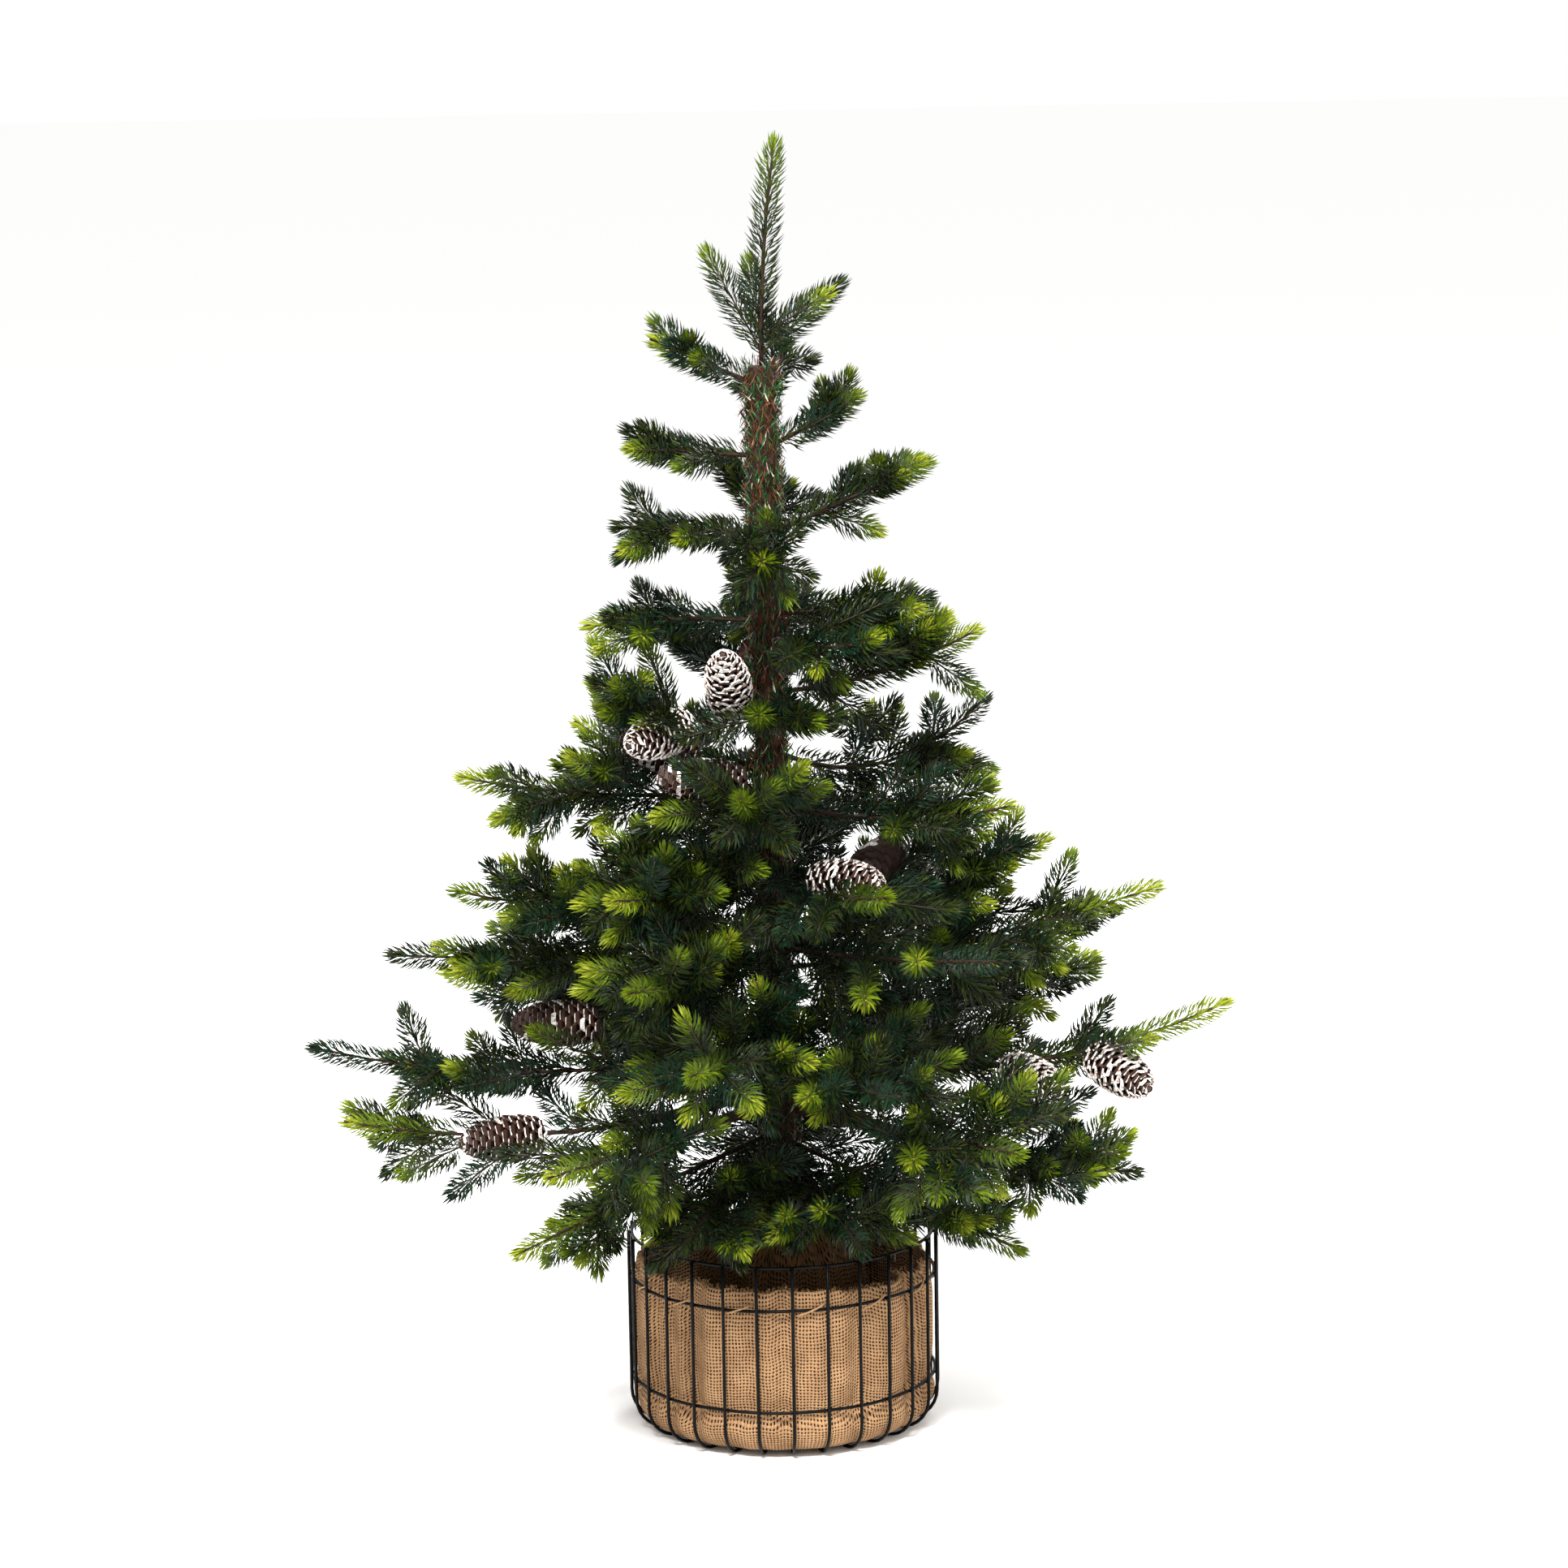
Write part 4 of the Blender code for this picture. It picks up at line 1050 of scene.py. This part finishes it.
print(needle_total, "needles")

# %% [markdown]
# ## Stems
# Under the needles runs a moulded orange-brown stem, which shows as a fine line where the spray
# is seen from the side. Near the pole the stems are wire, wound with brown tape. Both are slim
# tubes along the lines of the crown, joined into one piece from arrays.

# %% Stem tubes
def tubes(lines, sides):
    """Points, corners and face starts of closed tubes; a line comes with its radii and tone."""
    vertices, loops, starts, tones = [], [], [], []
    count = 0
    for points, radii, tone in lines:
        lengths = lengths_along(points)
        spots, headings = along_line(points, lengths)
        across, upright = axes_across(headings)
        for spot, side, up, radius in zip(spots, across, upright, radii):
            for corner in range(sides):
                angle = 2 * math.pi * corner / sides
                vertices.append(spot + (side * math.cos(angle) + up * math.sin(angle)) * radius)
        for row in range(len(points) - 1):
            for corner in range(sides):
                after = (corner + 1) % sides
                low = count + row * sides
                starts.append(len(loops))
                loops += [low + corner, low + after, low + sides + after, low + sides + corner]
                tones.append(tone)
        starts.append(len(loops))
        loops += [count + corner for corner in range(sides)][::-1]
        starts.append(len(loops))
        loops += [count + (len(points) - 1) * sides + corner for corner in range(sides)]
        tones += [tone, tone]
        count += len(points) * sides
    return np.array(vertices), loops, starts, tones


stem_finish, tree, shader = new_material("orange_brown_moulded_stem", {
    "Base Color": linear("#2a200a"), "Roughness": 0.55, "IOR": 1.51})
tape_finish, tree, shader = new_material("brown_paper_tape", {
    "Base Color": linear("#2a1a10"), "Roughness": 0.85, "Specular IOR Level": 0.3})
place = add_node(tree, "TexCoord")
crepe = add_node(tree, "TexNoise", {"Vector": place.outputs["Object"], "Scale": 700.0, "Detail": 3.0})
streak = add_node(tree, "Mix", {"Factor": crepe.outputs["Fac"], 6: linear("#170d08"), 7: linear("#402818")},
                  data_type="RGBA")
relief = add_node(tree, "Bump", {"Height": crepe.outputs["Fac"], "Strength": 0.5, "Distance": 0.0006})
tree.links.new(streak.outputs[2], shader.inputs["Base Color"])
tree.links.new(relief.outputs["Normal"], shader.inputs["Normal"])

lines = []
for name, stem in stems.items():
    lines.append((stem, np.linspace(0.0019, 0.0008, len(stem)), 1))
    lines += [(line, np.linspace(0.0008, 0.0004, len(line)), 0) for line in twigs[name]]
    lines += [(line, np.linspace(0.0007, 0.0004, len(line)), 0) for line in fine_twigs[name]]
for root, foot, aim in cones:
    lines.append((np.array([root, foot + aim * 0.004]), (0.0012, 0.0012), 1))
stem_piece = mesh_object("stems", *tubes(lines, 5), smooth=True)
finish_piece(stem_piece, "stems_and_twigs", "twigs", ["foliage_" + name for name in stems],
             [stem_finish, tape_finish])

# %% [markdown]
# ## Trunk and bare boughs
# The pole and the six lowest boughs are wound with tape. They start as cylinders: their long
# edges are cut into many rings, and the points are then moved, so that a low spiral ridge shows
# where one turn of tape lies on the last.

# %% Trunk and boughs
TAPE_PITCH = 0.011


def wound_rod(points, radii, sides, rings):
    """A cylinder cut into rings, whose points follow a line and carry a spiral ridge of tape."""
    start_fresh()
    bpy.ops.mesh.primitive_cylinder_add(vertices=sides, radius=1.0, depth=1.0, location=(0.0, 0.0, 0.5))
    rod = bpy.context.object
    bpy.ops.object.transform_apply(location=True, rotation=True, scale=True)
    bpy.ops.object.mode_set(mode="EDIT")
    bpy.ops.mesh.select_all(action="DESELECT")
    bpy.ops.mesh.select_mode(type="EDGE")
    bpy.ops.object.mode_set(mode="OBJECT")
    for edge in rod.data.edges:
        low, high = (rod.data.vertices[v].co.z for v in edge.vertices)
        edge.select = abs(high - low) > 0.5
    bpy.ops.object.mode_set(mode="EDIT")
    bpy.ops.mesh.subdivide(number_cuts=rings)
    bpy.ops.mesh.select_mode(type="VERT")
    bpy.ops.object.mode_set(mode="OBJECT")
    coordinates = np.array([v.co for v in rod.data.vertices])
    total = lengths_along(points)[-1]
    distance = coordinates[:, 2] * total
    spots, headings = along_line(points, distance)
    across, upright = axes_across(headings)
    angle = np.arctan2(coordinates[:, 1], coordinates[:, 0])
    turn = (distance / TAPE_PITCH + angle / (2 * math.pi)) % 1.0
    radius = np.interp(distance, lengths_along(points), radii) * (0.96 + 0.07 * turn)
    radius *= 1 + 0.02 * np.sin(3 * angle + distance * 90)
    placed = spots + (across * np.cos(angle)[:, None] + upright * np.sin(angle)[:, None]) * radius[:, None]
    rod.data.vertices.foreach_set("co", placed.ravel())
    bpy.ops.object.mode_set(mode="EDIT")
    bpy.ops.mesh.select_all(action="SELECT")
    bpy.ops.mesh.normals_make_consistent(inside=False)
    bpy.ops.object.mode_set(mode="OBJECT")
    for face in rod.data.polygons:
        face.use_smooth = len(face.vertices) == 4
    return rod


pole = np.array([trunk_middle(h) for h in np.linspace(SOCKET_BOTTOM + GAP, TRUNK_TOP, 40)])
trunk = wound_rod(pole, [trunk_radius(p[2]) for p in pole], 24, 230)
finish_piece(trunk, "wound_trunk", "trunk_wrap", ["trunk"], [tape_finish])
for name, line in boughs.items():
    radii = np.linspace(0.0046, 0.0034, len(line))
    finish_piece(wound_rod(line, radii, 12, 50), "wound_bough_" + name[3:], "trunk_wrap", ["bough_" + name],
                 [tape_finish])

# %% [markdown]
# ## Tinsel
# The pole is a chenille: short strips of thin film, rust brown and green, are twisted into it and
# stand out a few millimetres on all sides, most of them combed along the pole. Each strip is a
# blade that starts on the pole and leans up or down. The colours are plain and dealt out strip
# by strip: mostly rust and dark brown, a third green, and a few pale ones that catch the light.

# %% Tinsel
TINSEL_TONES = (
    ("rust_film", "#5d2f18"), ("dark_brown_film", "#1d0f09"), ("green_film", "#17572a"),
    ("olive_film", "#39430f"), ("pale_film", "#a9a990"),
)
tinsel_finishes = []
for name, hex_colour in TINSEL_TONES:
    finish, _, _ = new_material(name, {"Base Color": linear(hex_colour), "Roughness": 0.3, "IOR": 1.53,
                                       "Specular IOR Level": 0.3})
    tinsel_finishes.append(finish)
chance = np.random.RandomState(77)


def fuzz(line, radii, count, length, stand):
    """Strips that start on a rod and lean along it."""
    total = lengths_along(line)[-1]
    distance = chance.uniform(0, total, count)
    spots, headings = along_line(line, distance)
    across, upright = axes_across(headings)
    angle = chance.uniform(0, 2 * math.pi, count)
    out = across * np.cos(angle)[:, None] + upright * np.sin(angle)[:, None]
    side = np.cross(headings, out)
    radius = np.interp(distance, lengths_along(line), radii)
    along = np.where(chance.uniform(0, 1, count) < 0.62, 1.0, -1.0)[:, None] * headings
    sway = chance.normal(0, 0.35, count)[:, None] * side
    lift = chance.uniform(stand[0], stand[1], count)[:, None]
    first = unit(along + sway + out * lift)
    last = unit(along * chance.uniform(0.4, 1.0, count)[:, None] + sway * 1.6
                + out * chance.uniform(-0.25, 0.9, count)[:, None])
    return spots + out * (radius * 0.97)[:, None], first, last, length * chance.uniform(0.55, 1.2, count)


gathered = [fuzz(pole[5:], [trunk_radius(p[2]) for p in pole[5:]], 8400, 0.0125, (0.10, 0.95))]
roots, first, last, lengths = (np.concatenate(part) for part in zip(*gathered))
tones = chance.choice(5, size=len(roots), p=[0.27, 0.27, 0.24, 0.19, 0.03])
widths = np.full(len(roots), 0.00105)
tinsel = blades("tinsel", roots, first, last, lengths, widths, tones, 0.25)
finish_piece(tinsel, "trunk_tinsel", "tinsel", ["trunk"], tinsel_finishes)

# %% [markdown]
# ## Pine cones
# The cones are real ones, dried, with white paint on the lips of their scales. A scale is a thin
# rounded plate with a thick, upturned lip. One is modelled: a grid whose rows are drawn in at the
# root and at the lip, lifted into a curve and given a wall. It is then set out round each cone
# along a spiral of the golden angle, small at both ends and largest below the middle.

# %% One scale
SCALE_WIDTH = 0.0104
SCALE_LENGTH = 0.0125
start_fresh()
bpy.ops.mesh.primitive_grid_add(x_subdivisions=2, y_subdivisions=3, size=1.0)
plate = bpy.context.object
plate.scale = (SCALE_WIDTH, SCALE_LENGTH, 1.0)
bpy.ops.object.transform_apply(location=True, rotation=True, scale=True)
ROW_SHAPE = ((0.00, 0.45, 0.0), (0.50, 0.92, 0.0), (0.84, 1.0, 0.0012), (1.0, 0.66, 0.0034))
for row in (3, 2, 1, 0):
    share, wide, rise = ROW_SHAPE[row]
    edge = -SCALE_LENGTH / 2 + SCALE_LENGTH * row / 3
    bpy.ops.object.mode_set(mode="EDIT")
    bpy.ops.mesh.select_all(action="DESELECT")
    bpy.ops.mesh.select_mode(type="VERT")
    bpy.ops.object.mode_set(mode="OBJECT")
    for vertex in plate.data.vertices:
        vertex.select = abs(vertex.co.y - edge) < 0.0001
    bpy.ops.object.mode_set(mode="EDIT")
    bpy.ops.transform.resize(value=(wide, 1.0, 1.0), center_override=(0.0, edge, 0.0))
    bpy.ops.transform.translate(value=(0.0, SCALE_LENGTH * share - edge, rise))
    bpy.ops.object.mode_set(mode="OBJECT")
for vertex in plate.data.vertices:
    vertex.co.z -= 16.0 * vertex.co.x ** 2
wall = plate.modifiers.new("wall", "SOLIDIFY")
wall.thickness = 0.0013
wall.offset = 0.0
bpy.ops.object.modifier_apply(modifier="wall")
scale_points = np.array([v.co for v in plate.data.vertices])
scale_faces = [tuple(face.vertices) for face in plate.data.polygons]
least = np.array([min(scale_points[v][1] for v in face) for face in scale_faces]) / SCALE_LENGTH
rim, whole_lip = least > 0.95, least > 0.80
bpy.data.objects.remove(plate, do_unlink=True)
print(len(scale_faces), "faces in a scale,", rim.sum(), "on its rim and", whole_lip.sum(), "on its lip")

# %% Cones from the scale
SCALES = 136
FROST_SHARES = (0.20, 0.08, 0.42, 0.34)
bark_of_cone, tree, shader = new_material("dried_cone_scale", {"Roughness": 0.6, "IOR": 1.45})
place = add_node(tree, "TexCoord")
grain = add_node(tree, "TexNoise", {"Vector": place.outputs["Object"], "Scale": 260.0, "Detail": 4.0})
brown = add_node(tree, "Mix", {"Factor": grain.outputs["Fac"], 6: linear("#140a06"), 7: linear("#40210f")},
                 data_type="RGBA")
tree.links.new(brown.outputs[2], shader.inputs["Base Color"])
frost, tree, shader = new_material("chalky_white_paint", {"Roughness": 0.8, "Specular IOR Level": 0.3})
place = add_node(tree, "TexCoord")
grain = add_node(tree, "TexNoise", {"Vector": place.outputs["Object"], "Scale": 420.0, "Detail": 3.0})
patch = add_node(tree, "MapRange", {"Value": grain.outputs["Fac"], "From Min": 0.36, "From Max": 0.52})
white = add_node(tree, "Mix", {"Factor": patch.outputs["Result"], 6: linear("#7a5a48"), 7: linear("#e9e4de")},
                 data_type="RGBA")
tree.links.new(white.outputs[2], shader.inputs["Base Color"])

vertices, loops, starts, tones = [], [], [], []
chance = np.random.RandomState(55)
for number, (root, foot, aim) in enumerate(cones):
    painted = np.where(chance.uniform(0, 1, SCALES)[:, None] < FROST_SHARES[number % 4], whole_lip, rim)
    across, upright = cross_axes(aim)
    spindle = []
    for share, wide in ((0.0, 0.35), (0.15, 0.62), (0.5, 0.66), (0.85, 0.4), (1.0, 0.1)):
        spindle.append((foot + aim * CONE_LENGTH * share * 0.94, CONE_RADIUS * wide))
    points = np.array([spot for spot, _ in spindle])
    core, core_loops, core_starts, _ = tubes([(points, [r for _, r in spindle], 0)], 8)
    base = len(vertices)
    vertices += list(core)
    starts += [len(loops) + start for start in core_starts]
    loops += [base + corner for corner in core_loops]
    tones += [0] * len(core_starts)
    for index in range(SCALES):
        share = (index + 0.5) / SCALES
        angle = index * GOLDEN_TURN + chance.uniform(-0.06, 0.06)
        out = across * math.cos(angle) + upright * math.sin(angle)
        side = np.cross(aim, out)
        swell = math.sin(math.pi * min(1.0, 0.20 + 0.80 * share)) ** 0.55
        size = 0.45 + 0.55 * swell
        lean = math.radians(88 - 50 * share)
        reach = out * math.sin(lean) + aim * math.cos(lean)
        face_up = -out * math.cos(lean) + aim * math.sin(lean)
        span = SCALE_LENGTH * size * math.sin(lean)
        start = max(0.0, CONE_RADIUS * swell - span)
        spot = foot + aim * (CONE_LENGTH * (0.02 + 0.90 * share) - 0.004) + out * start
        base = len(vertices)
        for x, y, z in scale_points * size:
            vertices.append(spot + side * x + reach * y + face_up * z)
        for face, white in zip(scale_faces, painted[index]):
            starts.append(len(loops))
            loops += [base + corner for corner in face]
            tones.append(int(white))
cone_piece = mesh_object("cones", np.array(vertices), loops, starts, tones)
names = sorted({name for name, *_ in CONES})
finish_piece(cone_piece, "frosted_cones", "cones", ["foliage_" + name for name in names], [bark_of_cone, frost])

# %% [markdown]
# ## Twine and loose threads
# The lining is laced to the second ring with jute twine: one slanting stitch over the ring in
# every second bay; the two loose ends that hang outside are not made. The cut edge of the cloth
# frays into single fibres.

# %% Twine
twine_finish, tree, shader = new_material("jute_twine", {"Roughness": 0.95, "Specular IOR Level": 0.2})
place = add_node(tree, "TexCoord")
strand = add_node(tree, "TexNoise", {"Vector": place.outputs["Object"], "Scale": 800.0, "Detail": 3.0})
jute = add_node(tree, "Mix", {"Factor": strand.outputs["Fac"], 6: linear("#6b4a2c"), 7: linear("#c09a6e")},
                data_type="RGBA")
relief = add_node(tree, "Bump", {"Height": strand.outputs["Fac"], "Strength": 0.6, "Distance": 0.0005})
tree.links.new(jute.outputs[2], shader.inputs["Base Color"])
tree.links.new(relief.outputs["Normal"], shader.inputs["Normal"])
TWINE = 0.0013
lines = []
bay = 2 * math.pi / WIRE_COUNT
laces = random.Random(5)
for index in range(WIRE_COUNT // 2):
    middle = FIRST_WIRE_ANGLE + bay * (2 * index + 0.5) + laces.uniform(-0.03, 0.03)
    half = 0.40 * bay + laces.uniform(0.0, 0.02)
    points = []
    for share in np.linspace(-1, 1, 9):
        lift = 1 - share ** 2
        radius = HELD_RADIUS - 0.0012 + (WIRE + 0.0022) * lift ** 0.6
        angle = middle + half * share
        points.append([radius * math.cos(angle), radius * math.sin(angle),
                       SECOND_RING_HEIGHT + 0.0042 * share])
    lines.append((np.array(points), np.full(9, TWINE / 2), 0))
twine = mesh_object("twine", *tubes(lines, 7), smooth=True)
finish_piece(twine, "twine_lacing", "twine", ["burlap_liner"], [twine_finish])

# %% Frayed edge
chance = np.random.RandomState(91)
count = 900
around = chance.uniform(0, 2 * math.pi, count)
out = np.stack([np.cos(around), np.sin(around), np.zeros(count)], axis=1)
side = np.stack([-np.sin(around), np.cos(around), np.zeros(count)], axis=1)
edge = []
for angle in around:
    edge.append(LINER_TOP + 0.0014 * math.sin(3 * angle + 0.6) + 0.0010 * math.sin(8 * angle)
                + 0.0007 * math.sin(19 * angle) - 0.0022 * math.cos(angle - 0.3) - 0.001)
depth = np.array([pleat_depth(angle, LINER_TOP) for angle in around])
roots = out * (FREE_RADIUS - 0.0045 - depth)[:, None]
roots[:, 2] = edge
up = np.array([0.0, 0.0, 1.0])
first = unit(up + side * chance.normal(0, 0.8, count)[:, None] + out * chance.normal(-0.1, 0.4, count)[:, None])
last = unit(up * chance.normal(0.1, 0.5, count)[:, None] + side * chance.normal(0, 1.0, count)[:, None]
            + out * chance.normal(-0.1, 0.5, count)[:, None])
fray = blades("fray", roots, first, last, chance.uniform(0.002, 0.007, count), np.full(count, 0.00028),
              np.zeros(count, int))
finish_piece(fray, "frayed_threads", "burlap", ["burlap_liner"], [twine_finish])

# %% [markdown]
# ## Sizes
# The box of the imported solids and the box of what was made are set side by side, and for each
# axis the print gives the solids' size and how far the made model reaches past it at each end.

# %% Print the sizes and finish
made_low, made_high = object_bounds()
sizes = {"cad": [list(cad_low), list(cad_high)], "visual": [list(made_low), list(made_high)]}
for axis, low, high, made, reached in zip("XYZ", cad_low, cad_high, made_low, made_high):
    side = high - low
    print(f"{axis}: CAD {side:.4f}, past it by {(low - made) / side:+.1%} and {(reached - high) / side:+.1%}")
